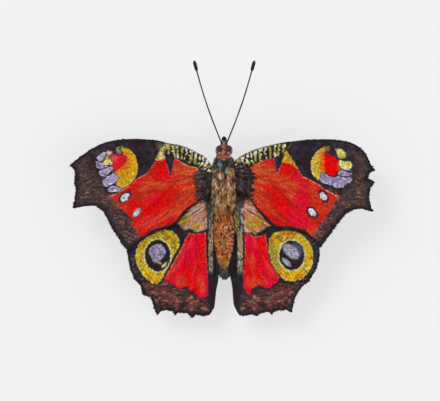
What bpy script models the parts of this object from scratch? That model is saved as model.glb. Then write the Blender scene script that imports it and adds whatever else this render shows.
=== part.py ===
"""Peacock butterfly, life size, standing on the floor with its wings spread.

Metres, +Z up. The head points to +Y, the left wings are on -X, and the feet stand on Z = 0.
The origin is on the floor, under the centre of the box round the whole animal.
Each wing is an outline on one arched sheet, thickened along its veins. The body is lofted through stations.
"""

import math

import bmesh
import bpy
from mathutils import Vector, geometry

MM = 0.001
GAP = 0.3 * MM  # left between a part and what it grows from

# The arched sheet that all four wings follow, as heights above the floor
SHEET_HEIGHT = 8.7 * MM  # at the wing roots
SHEET_ROOT = 2.6 * MM  # distance of the roots from the midline
SHEET_RISE = 0.045  # height gained outwards, as a share of the reach
SHEET_CURL = 1.3  # more height towards the tips, per metre, with the square of the reach
FRONT_EDGE, FRONT_DROOP = 4.5 * MM, 16.0  # where the sheet starts to droop forwards, and how fast
REAR_EDGE, REAR_DROOP = -12.0 * MM, 5.0  # the same towards the rear
WING_STEP = 1.2 * MM  # the hind wings lie this far under the fore wings
FOLD_REACH, FOLD_DROOP = 5.0 * MM, 60.0  # the hind wing's inner edge turns down beside the abdomen

MEMBRANE = 0.5 * MM  # wing thickness between the veins
VEIN = 0.8 * MM  # wing thickness on a vein
VEIN_HALF_WIDTH = 0.42  # millimetres
WING_GRID = 2.2  # spacing of the points inside a wing, in millimetres
GRID_CLEARANCE = 0.45  # how far those points keep from an edge or a vein, as a share of the spacing
RIM_STEP, VEIN_STEP = 1.5, 1.8  # spacing of the points along a wing's edge and veins, in millimetres
CROSSING_WELD = 0.06  # points of a wing closer than this become one, in millimetres

BODY_SIDES = 20
BODY_RING_STEP = 0.8  # millimetres
WIDEST_LEVEL = 0.55  # height of a ring's widest place between its bottom and top
END_BULGE = 0.12  # how far the end points stand out, in millimetres
TUBE_RESOLUTION = 2  # eight sides
LEG_STEP, PALP_STEP = 0.9, 0.5  # spacing of a tube's points, in millimetres
WELD = 0.01 * MM

# Stations of the body, front to rear: distance along the body, half width, top and bottom, in millimetres
THORAX = [
    (6.4, 1.15, 9.0, 6.5),
    (5.7, 1.90, 9.6, 5.5),
    (3.6, 2.65, 10.2, 4.7),
    (1.0, 2.90, 10.4, 4.3),
    (-1.6, 2.80, 10.1, 4.2),
    (-3.7, 2.50, 9.5, 4.4),
    (-5.2, 1.95, 8.8, 4.9),
]
ABDOMEN = [
    (-5.3, 1.75, 8.5, 4.9),
    (-6.6, 2.15, 8.75, 4.3),
    (-9.0, 2.35, 8.6, 4.0),
    (-11.5, 2.25, 8.2, 3.9),
    (-14.0, 1.90, 7.5, 3.9),
    (-16.2, 1.45, 6.8, 4.1),
    (-17.7, 1.05, 6.3, 4.3),
    (-18.6, 0.55, 5.9, 4.7),
]
HEAD = [
    (9.5, 0.35, 7.85, 6.95),
    (9.1, 0.62, 8.5, 6.35),
    (8.5, 0.80, 9.0, 5.95),
    (7.6, 0.95, 9.05, 5.95),
    (6.7, 1.00, 8.7, 6.3),
]
# How far the body's middle lies to the right, by the distance along the body, in millimetres
LEAN = [(9.8, 0.25), (6.0, 0.20), (1.0, 0.10), (-5.2, 0.12), (-12.0, 0.28), (-18.8, 0.38)]
ABDOMEN_SEGMENTS = 8
GROOVE_DEPTH = 0.06  # at a joint between segments, as a share of the radius
SEGMENT_RINGS = (0.0, 0.16, 0.5, 0.84)  # where the rings of a segment lie, as shares of its length

EYE_CENTRE = (0.92, 7.75, 7.6)
EYE_HALF_SIZES = (0.86, 1.12, 1.18)

# Leg paths on the right side, hip to toe: outwards, forwards, up and radius, in millimetres
LEGS = {
    "midleg": [
        (1.0, 1.2, 4.9, 0.42),
        (2.4, 1.9, 4.2, 0.40),
        (4.4, 3.0, 4.7, 0.36),
        (6.2, 4.0, 5.3, 0.30),
        (6.8, 4.3, 4.9, 0.32),
        (7.6, 4.7, 2.9, 0.28),
        (8.4, 5.2, 0.75, 0.27),
        (8.9, 5.5, 0.30, 0.27),
        (9.9, 6.0, 0.19, 0.25),
        (11.0, 6.5, 0.19, 0.25),
        (12.2, 7.0, 0.19, 0.25),
    ],
    "hindleg": [
        (1.0, -2.2, 4.8, 0.42),
        (2.3, -3.2, 4.1, 0.40),
        (4.2, -4.9, 4.5, 0.36),
        (6.0, -6.5, 5.0, 0.30),
        (6.5, -7.0, 4.6, 0.32),
        (7.1, -8.2, 2.7, 0.28),
        (7.7, -9.6, 0.75, 0.27),
        (8.1, -10.2, 0.30, 0.27),
        (8.8, -11.2, 0.19, 0.25),
        (9.5, -12.3, 0.19, 0.25),
        (10.3, -13.5, 0.19, 0.25),
    ],
    "foreleg": [
        (0.7, 4.4, 5.4, 0.38),
        (1.05, 4.7, 4.3, 0.36),
        (1.25, 5.4, 3.9, 0.33),
        (1.2, 6.4, 4.15, 0.33),
        (1.0, 7.4, 4.6, 0.30),
        (0.85, 8.1, 4.85, 0.20),
    ],
}
FOOT_CUT = 2.0 * MM  # height of the block that flattens the soles
FLOOR_SIDE = 60.0 * MM

ANTENNA_BASE = (0.42, 9.0, 8.1)
ANTENNA_TIPS = {"left": (6.2, 26.35, 12.4), "right": (6.25, 26.35, 12.4)}
ANTENNA_BOW = 0.4  # how far the middle lies outside the straight line, in millimetres
ANTENNA_POINTS = 15
ANTENNA_CROWDING = 1.6  # points stand closer together towards the club
CLUB_LENGTH = 2.1  # millimetres
CLUB_FULLNESS = 0.7  # below 1 makes the club blunter
CLUB_END = 0.15  # share of the club's swelling that its rounded end cuts off
SHAFT_RADIUS, CLUB_RADIUS, TIP_RADIUS = 0.25, 0.42, 0.16

# Right palp and the coiled proboscis: outwards, forwards, up and radius, in millimetres
PALP = [
    (0.58, 8.5, 6.4, 0.28),
    (0.54, 9.3, 6.2, 0.28),
    (0.44, 10.15, 6.6, 0.27),
    (0.38, 10.5, 7.6, 0.22),
    (0.31, 10.7, 8.5, 0.14),
]
MOUTH = (0.0, 8.5, 6.4)

COIL_CENTRE = (0.0, 9.15, 4.55)
COIL_START_RADIUS, COIL_PITCH, COIL_TURNS = 1.15, 0.72, 1.2
COIL_START_ANGLE = math.radians(105)
COIL_TUBE = 0.2
COIL_POINTS_PER_TURN = 18

# Wing outlines as distance from the midline and distance along the body, in millimetres.
# Each run is one smooth edge, and the runs meet at corners.
FOREWING = {
    "left": [
        [(1.4, 3.2), (2.1, 4.1), (2.5, 4.9), (3.1, 5.8), (4.1, 6.55), (5.7, 7.4), (7.3, 8.2), (9.0, 8.75),
         (11.2, 9.1), (14.2, 9.75), (18.0, 9.97), (21.7, 9.78), (25.0, 8.9), (28.05, 7.1), (31.2, 4.7)],
        [(31.2, 4.7), (30.3, 3.9), (30.0, 2.8), (30.25, 1.6)],
        [(30.25, 1.6), (29.95, -0.3), (30.1, -2.2), (30.6, -4.0)],
        [(30.6, -4.0), (28.2, -3.6), (25.8, -3.5), (24.3, -4.75), (23.2, -6.75), (22.45, -8.25),
         (21.45, -9.7), (20.7, -11.0), (19.6, -12.4)],
        [(19.6, -12.4), (17.4, -11.1), (14.6, -8.95), (11.7, -8.1), (9.6, -7.0), (8.2, -5.0), (4.5, -2.3),
         (3.2, -0.5), (1.4, 0.2)],
    ],
    "right": [
        [(1.4, 4.3), (2.5, 5.7), (5.9, 7.55), (10.5, 8.87), (15.9, 9.68), (19.9, 9.9), (23.9, 9.72),
         (26.8, 8.93), (28.95, 7.2), (29.9, 5.1), (31.0, 3.7)],
        [(31.0, 3.7), (29.65, 3.1), (29.5, 2.1), (30.9, 1.3)],
        [(30.9, 1.3), (30.0, 0.0), (29.78, -2.4), (30.5, -4.75)],
        [(30.5, -4.75), (28.5, -4.1), (26.8, -4.2), (24.95, -5.15), (22.5, -8.35), (19.8, -12.1)],
        [(19.8, -12.1), (18.4, -10.3), (16.8, -8.9), (13.7, -8.2), (10.5, -7.9), (8.4, -5.9), (5.9, -2.6),
         (4.4, -0.6), (1.4, 0.2)],
    ],
}
HINDWING = {
    "left": [
        [(1.4, -0.4), (4.0, -0.2), (9.0, -0.7), (14.0, -2.6), (17.6, -6.0), (19.2, -9.5), (19.5, -12.6),
         (19.2, -14.7), (18.7, -16.9), (17.95, -18.4), (16.7, -20.0), (16.3, -21.7)],
        [(16.3, -21.7), (14.75, -22.15), (14.25, -23.4), (14.0, -24.6), (13.35, -25.8)],
        [(13.35, -25.8), (12.7, -25.0), (11.6, -24.75), (10.2, -25.05), (9.8, -25.9)],
        [(9.8, -25.9), (9.2, -25.25), (7.3, -25.4), (6.2, -26.5)],
        [(6.2, -26.5), (5.7, -25.65), (3.9, -25.95), (2.7, -25.7), (1.9, -24.3), (1.6, -21.3), (1.3, -18.9),
         (1.2, -14.0), (1.2, -7.0), (1.4, -0.4)],
    ],
    "right": [
        [(1.4, -0.4), (4.0, -0.2), (9.0, -0.7), (14.0, -2.6), (17.6, -6.0), (19.4, -9.5), (19.65, -12.4),
         (19.45, -15.0), (18.65, -17.1), (17.55, -18.8), (16.05, -20.1)],
        [(16.05, -20.1), (15.15, -21.3), (14.6, -22.6), (14.05, -25.3)],
        [(14.05, -25.3), (12.9, -24.75), (11.3, -24.85), (10.5, -25.05), (9.9, -25.65)],
        [(9.9, -25.65), (9.3, -25.1), (7.8, -25.35), (6.85, -26.1)],
        [(6.85, -26.1), (5.9, -25.55), (4.6, -25.95), (3.3, -25.75), (2.45, -24.1), (2.1, -20.5), (2.0, -17.8),
         (1.4, -14.0), (1.2, -7.0), (1.4, -0.4)],
    ],
}
# Main veins, root to margin. The last point lies just outside the wing.
FORE_VEINS = [
    [(1.4, 4.0), (6.0, 6.6), (10.5, 8.2), (14.5, 10.3)],
    [(1.4, 3.6), (6.0, 5.7), (10.0, 6.8), (14.2, 6.3), (20.0, 6.8), (23.0, 6.7), (29.0, 6.9)],
    [(10.0, 6.8), (14.0, 8.4), (18.4, 10.6)],
    [(12.2, 6.7), (17.0, 8.2), (22.6, 10.4)],
    [(20.0, 6.8), (23.0, 7.9), (26.4, 9.6)],
    [(23.0, 6.7), (27.0, 5.6), (32.0, 4.6)],
    [(14.2, 6.3), (15.0, 5.4), (22.0, 3.7), (31.2, 1.4)],
    [(15.0, 5.4), (14.9, 3.4), (22.0, 1.2), (31.0, -1.2)],
    [(14.9, 3.4), (13.6, 1.6), (21.0, -1.0), (31.2, -4.4)],
    [(1.4, 3.0), (6.0, 2.6), (10.5, 1.3), (13.6, 1.6)],
    [(12.0, 1.3), (17.5, -2.0), (25.6, -5.2)],
    [(9.5, 1.6), (14.5, -3.4), (23.6, -9.6)],
    [(1.4, 1.8), (5.5, 0.4), (12.5, -6.0), (19.8, -13.0)],
]
HIND_VEINS = [
    [(1.4, -1.0), (6.0, -1.8), (11.0, -2.9), (16.0, -3.6)],
    [(1.4, -1.6), (6.0, -3.4), (12.0, -6.6), (20.4, -12.0)],
    [(6.0, -3.4), (10.5, -8.2), (20.3, -16.4)],
    [(10.5, -8.2), (9.6, -10.0), (17.6, -20.6)],
    [(9.6, -10.0), (8.4, -11.0), (13.8, -26.4)],
    [(1.4, -2.4), (4.6, -6.0), (6.8, -9.4), (9.8, -26.6)],
    [(5.6, -7.5), (5.4, -16.0), (6.4, -27.0)],
    [(1.4, -3.2), (3.3, -8.0), (3.5, -16.0), (3.6, -26.8)],
]


def clear_scene():
    for thing in list(bpy.data.objects):
        bpy.data.objects.remove(thing, do_unlink=True)


def new_collection(name, is_helper=False):
    collection = bpy.data.collections.new(name)
    bpy.context.scene.collection.children.link(collection)
    collection.hide_render = is_helper
    return collection


def new_material(name, colour, roughness, metallic=0.0):
    material = bpy.data.materials.new(name)
    material.use_nodes = True
    shader = material.node_tree.nodes["Principled BSDF"]
    shader.inputs["Base Color"].default_value = (*colour, 1.0)
    shader.inputs["Roughness"].default_value = roughness
    shader.inputs["Metallic"].default_value = metallic
    return material


def add_object(name, data, collection, material=None):
    obj = bpy.data.objects.new(name, data)
    collection.objects.link(obj)
    if material:
        obj.data.materials.append(material)
    return obj


def smooth_line(points, step):
    """Points about one step apart on a smooth line (Catmull-Rom) through the given points."""
    knots = [Vector(p) for p in points]
    ends = [2 * knots[0] - knots[1], *knots, 2 * knots[-1] - knots[-2]]
    line = []
    for before, start, end, after in zip(ends, ends[1:], ends[2:], ends[3:]):
        pieces = max(1, round((end - start).length / step))
        for i in range(pieces):
            t = i / pieces
            line.append(
                0.5
                * (
                    2 * start
                    + t * (end - before)
                    + t * t * (2 * before - 5 * start + 4 * end - after)
                    + t**3 * (3 * start - before - 3 * end + after)
                )
            )
    return [*line, knots[-1]]


def sheet_height(reach, along, is_hind):
    """Height of a wing's middle surface, from the distance to the midline and along the body."""
    out = max(0.0, reach - SHEET_ROOT)
    height = SHEET_HEIGHT + SHEET_RISE * out + SHEET_CURL * out**2
    height -= FRONT_DROOP * max(0.0, along - FRONT_EDGE) ** 2
    height -= REAR_DROOP * max(0.0, REAR_EDGE - along) ** 2
    if is_hind:
        height -= WING_STEP + FOLD_DROOP * max(0.0, FOLD_REACH - reach) ** 2
    return height


def distance_to_line(point, line):
    nearest = 1e9
    for start, end in zip(line, line[1:]):
        found, share = geometry.intersect_point_line(point, start, end)
        found = start if share < 0 else end if share > 1 else found
        nearest = min(nearest, (point - found.to_2d()).length)
    return nearest


def offset_line(line, distance):
    moved = []
    for i, point in enumerate(line):
        way = line[min(i + 1, len(line) - 1)] - line[max(i - 1, 0)]
        moved.append(point + Vector((-way.y, way.x)).normalized() * distance)
    return moved


def is_inside(point, outline):
    crossings = 0
    for start, end in zip(outline, [*outline[1:], outline[0]]):
        if (start.y > point.y) != (end.y > point.y):
            across = start.x + (point.y - start.y) / (end.y - start.y) * (end.x - start.x)
            crossings += point.x < across
    return crossings % 2 == 1


def fill_points(outline, lines, spacing):
    """A loose triangular grid of points inside the outline, clear of its edge and of the lines."""
    low_x, high_x = min(p.x for p in outline), max(p.x for p in outline)
    low_y, high_y = min(p.y for p in outline), max(p.y for p in outline)
    row_step = spacing * math.sqrt(3) / 2
    rows = int((high_y - low_y) / row_step) + 1
    columns = int((high_x - low_x) / spacing) + 1
    rim = [*outline, outline[0]]
    found = []
    for row in range(rows):
        for column in range(columns):
            point = Vector((low_x + (column + row % 2 / 2) * spacing, low_y + row * row_step))
            if not is_inside(point, outline):
                continue
            if min(distance_to_line(point, line) for line in [rim, *lines]) > spacing * GRID_CLEARANCE:
                found.append(point)
    return found


def wing_sheet(name, runs, veins, side, is_hind):
    """The open middle surface of a wing, with its vein weight in a vertex group for the Solidify modifier."""
    outline = [p for run in runs for p in smooth_line(run, RIM_STEP)[:-1]]
    vein_lines = [smooth_line(vein, VEIN_STEP) for vein in veins]
    feet = [offset_line(line, way * VEIN_HALF_WIDTH) for line in vein_lines for way in (1, -1)]
    points = list(outline)
    edges = []
    for line in vein_lines + feet:
        edges += [(len(points) + i, len(points) + i + 1) for i in range(len(line) - 1)]
        points += line
    points += fill_points(outline, vein_lines, WING_GRID)
    rim = list(range(len(outline)))
    flat, _, triangles, *_ = geometry.delaunay_2d_cdt(points, edges, [rim], 1, CROSSING_WELD)
    mesh = bpy.data.meshes.new(name)
    heights = [sheet_height(p.x * MM, p.y * MM, is_hind) for p in flat]
    corners = [(side * p.x * MM, p.y * MM, z) for p, z in zip(flat, heights)]
    faces = [face if side > 0 else face[::-1] for face in triangles]
    mesh.from_pydata(corners, [], faces)
    gaps = [min(distance_to_line(p, line) for line in vein_lines) for p in flat]
    weights = [max(0.0, 1 - gap / VEIN_HALF_WIDTH) for gap in gaps]
    return mesh, weights


def add_wing(name, runs, veins, side, is_hind, collection, material):
    mesh, weights = wing_sheet(name, runs, veins, side, is_hind)
    wing = add_object(name, mesh, collection, material)
    group = wing.vertex_groups.new(name="veins")
    for index, weight in enumerate(weights):
        group.add([index], weight, "REPLACE")
    solid = wing.modifiers.new("thickness", "SOLIDIFY")
    solid.thickness = VEIN
    solid.offset = 0.0
    solid.vertex_group = group.name
    solid.thickness_vertex_group = MEMBRANE / VEIN
    return wing


def cut_from(obj, cutter):
    cut = obj.modifiers.new("clear_of_" + cutter.name, "BOOLEAN")
    cut.operation = "DIFFERENCE"
    cut.object = cutter


def lean(along):
    """How far the body's middle lies to the right at a distance along the body."""
    if along >= LEAN[0][0]:
        return LEAN[0][1]
    for (front, front_lean), (rear, rear_lean) in zip(LEAN, LEAN[1:]):
        if along >= rear:
            return rear_lean + (along - rear) / (front - rear) * (front_lean - rear_lean)
    return LEAN[-1][1]


def leaned(point, side):
    """A place on the head's parts, given by its distance from the head's middle, on the wanted side."""
    across, along, *rest = point
    return (side * across + lean(along), along, *rest)


def ring_points(along, half_width, top, bottom):
    middle = bottom + WIDEST_LEVEL * (top - bottom)
    ring = []
    for i in range(BODY_SIDES):
        turn = math.tau * i / BODY_SIDES
        rise = math.sin(turn)
        height = (top - middle) if rise > 0 else (middle - bottom)
        ring.append((lean(along) + half_width * math.cos(turn), along, middle + height * rise))
    return ring


def loft_mesh(name, rings, nose, tail):
    """A closed body through the rings, with one point at each end."""
    form = bmesh.new()
    loops = [[form.verts.new(Vector(p) * MM) for p in ring] for ring in rings]
    ends = [form.verts.new(Vector(p) * MM) for p in (nose, tail)]
    for i in range(BODY_SIDES):
        j = (i + 1) % BODY_SIDES
        for front, rear in zip(loops, loops[1:]):
            form.faces.new((front[i], front[j], rear[j], rear[i]))
        form.faces.new((loops[0][j], loops[0][i], ends[0]))
        form.faces.new((loops[-1][i], loops[-1][j], ends[1]))
    bmesh.ops.recalc_face_normals(form, faces=form.faces)
    return finished_mesh(name, form)


def finished_mesh(name, form):
    mesh = bpy.data.meshes.new(name)
    form.to_mesh(mesh)
    form.free()
    mesh.shade_smooth()
    return mesh


def body_mesh(name, rows, grow=0.0):
    """A soft form through rows of stations. grow moves every side outwards, for a cutter."""
    first, last = rows[0], rows[-1]
    rings = [ring_points(along, half + grow, top + grow, bottom - grow) for along, half, top, bottom in rows]
    nose = (lean(first[0]), first[0] + END_BULGE + grow, (first[2] + first[3]) / 2)
    tail = (lean(last[0]), last[0] - END_BULGE - grow, (last[2] + last[3]) / 2)
    return loft_mesh(name, rings, nose, tail)


def row_at(line, along):
    """The place on a smooth line of stations at one distance along the body."""
    for front, rear in zip(line, line[1:]):
        if rear[0] <= along:
            return front.lerp(rear, (front[0] - along) / (front[0] - rear[0]))
    return line[-1]


def segmented_rows(stations):
    """Rows along the abdomen, drawn in a little at each joint between two segments."""
    line = smooth_line(stations, BODY_RING_STEP / 4)
    length = (stations[0][0] - stations[-1][0]) / ABDOMEN_SEGMENTS
    rows = []
    for segment in range(ABDOMEN_SEGMENTS):
        for share in SEGMENT_RINGS:
            along, half_width, top, bottom = row_at(line, stations[0][0] - (segment + share) * length)
            narrow = 1 - GROOVE_DEPTH if share == 0 else 1.0
            middle = (top + bottom) / 2
            rows.append((along, half_width * narrow, middle + (top - middle) * narrow,
                         middle - (middle - bottom) * narrow))
    return [*rows, tuple(line[-1])]


def ellipsoid_mesh(name, half_sizes):
    form = bmesh.new()
    bmesh.ops.create_uvsphere(form, u_segments=20, v_segments=12, radius=1.0)
    bmesh.ops.scale(form, vec=Vector(half_sizes) * MM, verts=form.verts)
    return finished_mesh(name, form)


def tube_mesh(name, points):
    """A round tube through points given as place and radius in millimetres, as one closed mesh."""
    curve = bpy.data.curves.new(name, "CURVE")
    curve.dimensions = "3D"
    curve.bevel_depth = MM
    curve.bevel_resolution = TUBE_RESOLUTION
    curve.use_fill_caps = True
    spline = curve.splines.new("POLY")
    spline.points.add(len(points) - 1)
    for spot, (x, y, z, radius) in zip(spline.points, points):
        spot.co = (x * MM, y * MM, z * MM, 1.0)
        spot.radius = radius
    source = bpy.data.objects.new(name + "_curve", curve)
    bpy.context.scene.collection.objects.link(source)
    bpy.context.view_layer.update()
    evaluated = source.evaluated_get(bpy.context.evaluated_depsgraph_get())
    mesh = bpy.data.meshes.new_from_object(evaluated)
    bpy.data.objects.remove(source, do_unlink=True)
    form = bmesh.new()
    form.from_mesh(mesh)
    bmesh.ops.remove_doubles(form, verts=form.verts, dist=WELD)
    bmesh.ops.recalc_face_normals(form, faces=form.faces)
    return finished_mesh(name, form)


def antenna_points(side):
    """A nearly straight shaft that bows a little outwards and ends in a club."""
    base = Vector(ANTENNA_BASE)
    tip = Vector(ANTENNA_TIPS[side])
    length = (tip - base).length
    points = []
    for i in range(ANTENNA_POINTS + 1):
        share = 1 - (1 - i / ANTENNA_POINTS) ** ANTENNA_CROWDING
        place = base.lerp(tip, share)
        place.x += ANTENNA_BOW * math.sin(math.pi * share)
        to_tip = (1 - share) * length / CLUB_LENGTH
        radius = SHAFT_RADIUS
        if to_tip < 1:
            swelling = math.sin(math.pi * min(1.0, 1 + CLUB_END - to_tip))
            radius += (CLUB_RADIUS - SHAFT_RADIUS) * swelling**CLUB_FULLNESS
        points.append((*place, TIP_RADIUS if i == ANTENNA_POINTS else radius))
    return points


def proboscis_points():
    """A flat coil under the head, fed by a short stretch from the mouth."""
    steps = round(COIL_TURNS * COIL_POINTS_PER_TURN)
    points = [leaned((*MOUTH, COIL_TUBE), 1)]
    for i in range(steps + 1):
        turned = i / COIL_POINTS_PER_TURN
        angle = COIL_START_ANGLE - math.tau * turned
        radius = COIL_START_RADIUS - COIL_PITCH * turned
        along = COIL_CENTRE[1] + radius * math.cos(angle)
        height = COIL_CENTRE[2] + radius * math.sin(angle)
        points.append(leaned((0.0, along, height, COIL_TUBE), 1))
    return points


def floor_block(collection):
    """Flattens the soles at floor height."""
    bpy.ops.mesh.primitive_cube_add(size=1.0, location=(0, 0, -FOOT_CUT / 2))
    block = bpy.context.object
    block.name = "floor_cutter"
    block.scale = (FLOOR_SIDE, FLOOR_SIDE, FOOT_CUT)
    bpy.ops.object.transform_apply(location=True, rotation=False, scale=True)
    for owner in list(block.users_collection):
        owner.objects.unlink(block)
    collection.objects.link(block)
    block.hide_render = True
    block.display_type = "WIRE"
    return block


def add_cutter(name, mesh, collection):
    cutter = add_object(name, mesh, collection)
    cutter.hide_render = True
    cutter.display_type = "WIRE"
    return cutter


def add_body(model, cutters, fur, shell):
    add_object("thorax", body_mesh("thorax", smooth_line(THORAX, BODY_RING_STEP)), model, fur)
    abdomen = add_object("abdomen", body_mesh("abdomen", segmented_rows(ABDOMEN)), model, fur)
    cut_from(abdomen, cutters["thorax"])
    head = add_object("head", body_mesh("head", smooth_line(HEAD, BODY_RING_STEP)), model, fur)
    cut_from(head, cutters["thorax"])
    proboscis = add_object("proboscis", tube_mesh("proboscis", proboscis_points()), model, shell)
    cut_from(proboscis, cutters["head"])


def add_paired_parts(side_name, side, model, cutters, materials):
    """Everything that the animal has once on each side."""
    fur, shell, eye_surface, fore_scales, hind_scales = materials
    eye = add_object("eye_" + side_name, ellipsoid_mesh("eye", EYE_HALF_SIZES), model, eye_surface)
    eye.location = Vector(leaned(EYE_CENTRE, side)) * MM
    cut_from(eye, cutters["head"])

    palp_path = smooth_line([leaned(point, side) for point in PALP], PALP_STEP)
    palp = add_object("palp_" + side_name, tube_mesh("palp", palp_path), model, fur)
    cut_from(palp, cutters["head"])

    feeler_path = [leaned(point, side) for point in antenna_points(side_name)]
    feeler = add_object("antenna_" + side_name, tube_mesh("antenna", feeler_path), model, shell)
    cut_from(feeler, cutters["head"])

    for leg_name, path in LEGS.items():
        leg_path = smooth_line([(side * x, *rest) for x, *rest in path], LEG_STEP)
        leg = add_object(f"{leg_name}_{side_name}", tube_mesh(leg_name, leg_path), model, shell)
        cut_from(leg, cutters["thorax"])
        if leg_name != "foreleg":
            cut_from(leg, cutters["floor"])

    fore = add_wing("forewing_" + side_name, FOREWING[side_name], FORE_VEINS, side, False, model, fore_scales)
    cut_from(fore, cutters["thorax"])
    hind = add_wing("hindwing_" + side_name, HINDWING[side_name], HIND_VEINS, side, True, model, hind_scales)
    cut_from(hind, cutters["thorax"])
    cut_from(hind, cutters["abdomen"])


def main():
    clear_scene()
    model = new_collection("peacock_butterfly")
    helpers = new_collection("cutters", is_helper=True)
    cutters = {}
    for name, stations in (("thorax", THORAX), ("abdomen", ABDOMEN), ("head", HEAD)):
        form = body_mesh(name + "_cutter", smooth_line(stations, BODY_RING_STEP), GAP / MM)
        cutters[name] = add_cutter(name + "_cutter", form, helpers)
    cutters["floor"] = floor_block(helpers)
    fur = new_material("brown_hair", (0.20, 0.10, 0.045), 0.85)
    shell = new_material("dark_shell", (0.03, 0.022, 0.02), 0.4)
    eye_surface = new_material("eye", (0.06, 0.04, 0.035), 0.25)
    fore_scales = new_material("forewing_scales", (0.58, 0.02, 0.015), 0.6)
    hind_scales = new_material("hindwing_scales", (0.30, 0.03, 0.02), 0.6)
    add_body(model, cutters, fur, shell)
    materials = (fur, shell, eye_surface, fore_scales, hind_scales)
    for side_name, side in (("left", -1), ("right", 1)):
        add_paired_parts(side_name, side, model, cutters, materials)


main()
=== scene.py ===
"""The looks of a peacock butterfly with its wings spread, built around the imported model.

Plain numbers are millimetres, which become metres when a mesh is made. A place on a wing is (reach, along):
its distance from the midline and how far it lies towards the head. Colours run from 0 to 255.
"""

import math

import bmesh
import bpy
import numpy as np
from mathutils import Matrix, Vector, bvhtree, geometry


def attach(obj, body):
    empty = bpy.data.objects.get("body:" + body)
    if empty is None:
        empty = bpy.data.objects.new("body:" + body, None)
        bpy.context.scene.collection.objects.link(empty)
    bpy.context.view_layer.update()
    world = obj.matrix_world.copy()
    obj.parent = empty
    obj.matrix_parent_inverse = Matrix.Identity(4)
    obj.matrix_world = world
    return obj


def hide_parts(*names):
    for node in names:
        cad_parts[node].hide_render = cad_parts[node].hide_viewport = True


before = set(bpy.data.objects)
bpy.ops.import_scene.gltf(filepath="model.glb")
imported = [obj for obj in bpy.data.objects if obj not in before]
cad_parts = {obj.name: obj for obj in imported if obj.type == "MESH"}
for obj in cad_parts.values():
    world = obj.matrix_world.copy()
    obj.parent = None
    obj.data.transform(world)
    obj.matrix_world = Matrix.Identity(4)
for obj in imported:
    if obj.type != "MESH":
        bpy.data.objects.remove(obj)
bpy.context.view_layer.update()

MM = 0.001
SIDES = {"left": -1, "right": 1}

# The arched sheet that the wings follow, as in the part's source
SHEET_HEIGHT = 8.7
SHEET_ROOT = 2.6
SHEET_RISE = 0.045
SHEET_CURL = 0.0013
FRONT_EDGE, FRONT_DROOP = 4.5, 0.016
REAR_EDGE, REAR_DROOP = -12.0, 0.005
WING_STEP = 1.2
FOLD_REACH, FOLD_DROOP = 5.0, 0.06

MEMBRANE = 0.10
WING_GRID = 0.32
VEIN_RIDGE, VEIN_WIDTH = 0.13, 0.20
PLEAT_DEPTH, PLEAT_REACH = 0.16, 1.3
ROOT_REACH, ROOT_REAR, ROOT_FRONT = 3.3, -3.8, 4.3  # where the root is; its front corner isn't in it
ROOT_STRETCH = 1.0  # the root runs this much further into the body's coat
FOLD_STRETCH, FOLD_END, FOLD_FADE = 0.5, -20.5, 4.0  # the hind wing's inner edge meets the abdomen's coat
HUBS = {"forewing": (0.6, 3.2), "hindwing": (0.4, -1.2)}  # scales, veins and streaks spread from here

# Main veins, root to margin, as in the part's source
VEINS = {
    "forewing": [
        [(1.4, 4.0), (6.0, 6.6), (10.5, 8.2), (14.5, 10.3)],
        [(1.4, 3.6), (6.0, 5.7), (10.0, 6.8), (14.2, 6.3), (20.0, 6.8), (23.0, 6.7), (29.0, 6.9)],
        [(10.0, 6.8), (14.0, 8.4), (18.4, 10.6)],
        [(12.2, 6.7), (17.0, 8.2), (22.6, 10.4)],
        [(20.0, 6.8), (23.0, 7.9), (26.4, 9.6)],
        [(23.0, 6.7), (27.0, 5.6), (32.0, 4.6)],
        [(14.2, 6.3), (15.0, 5.4), (22.0, 3.7), (31.2, 1.4)],
        [(15.0, 5.4), (14.9, 3.4), (22.0, 1.2), (31.0, -1.2)],
        [(14.9, 3.4), (13.6, 1.6), (21.0, -1.0), (31.2, -4.4)],
        [(1.4, 3.0), (6.0, 2.6), (10.5, 1.3), (13.6, 1.6)],
        [(12.0, 1.3), (17.5, -2.0), (25.6, -5.2)],
        [(9.5, 1.6), (14.5, -3.4), (23.6, -9.6)],
        [(1.4, 1.8), (5.5, 0.4), (12.5, -6.0), (19.8, -13.0)],
    ],
    "hindwing": [
        [(1.4, -1.0), (6.0, -1.8), (11.0, -2.9), (16.0, -3.6)],
        [(1.4, -1.6), (6.0, -3.4), (12.0, -6.6), (20.4, -12.0)],
        [(6.0, -3.4), (10.5, -8.2), (20.3, -16.4)],
        [(10.5, -8.2), (9.6, -10.0), (17.6, -20.6)],
        [(9.6, -10.0), (8.4, -11.0), (13.8, -26.4)],
        [(1.4, -2.4), (4.6, -6.0), (6.8, -9.4), (9.8, -26.6)],
        [(5.6, -7.5), (5.4, -16.0), (6.4, -27.0)],
        [(1.4, -3.2), (3.3, -8.0), (3.5, -16.0), (3.6, -26.8)],
    ],
}

BLACK = (40, 31, 34)
BLUE_BLACK = (42, 44, 54)
BROWN = (96, 66, 60)
RED = (206, 14, 16)
BRIGHT_RED = (216, 0, 2)
CRIMSON = (214, 4, 50)
ORANGE = (188, 74, 32)
ORANGE_RED = (188, 50, 24)
# painted highlight: a pale pink line along the upper edges of the red fields
PAINTED_HIGHLIGHT = (232, 150, 120)
YELLOW = (203, 150, 18)
MELLOW_YELLOW = (198, 166, 50)
EMBER = (202, 74, 38)
SALMON_RED = (208, 54, 52)
PALE_YELLOW = (214, 198, 104)
OLIVE_PALE = (180, 174, 92)
SMOKE = (132, 132, 120)
SPOT_RED = (208, 18, 34)
SPOT_ORANGE = (216, 96, 24)
SPOT_PINK = (206, 74, 92)
LILAC = (142, 126, 168)
BRIGHT_LILAC = (154, 138, 181)
DUSKY_LILAC = (114, 98, 134)
WHITE = (216, 204, 208)
STRIPE = (208, 202, 130)
RING_YELLOW = (194, 168, 42)
RING_OLIVE = (148, 136, 58)
RING_BROWN = (124, 94, 44)
RING_PALE = (206, 200, 150)
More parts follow.
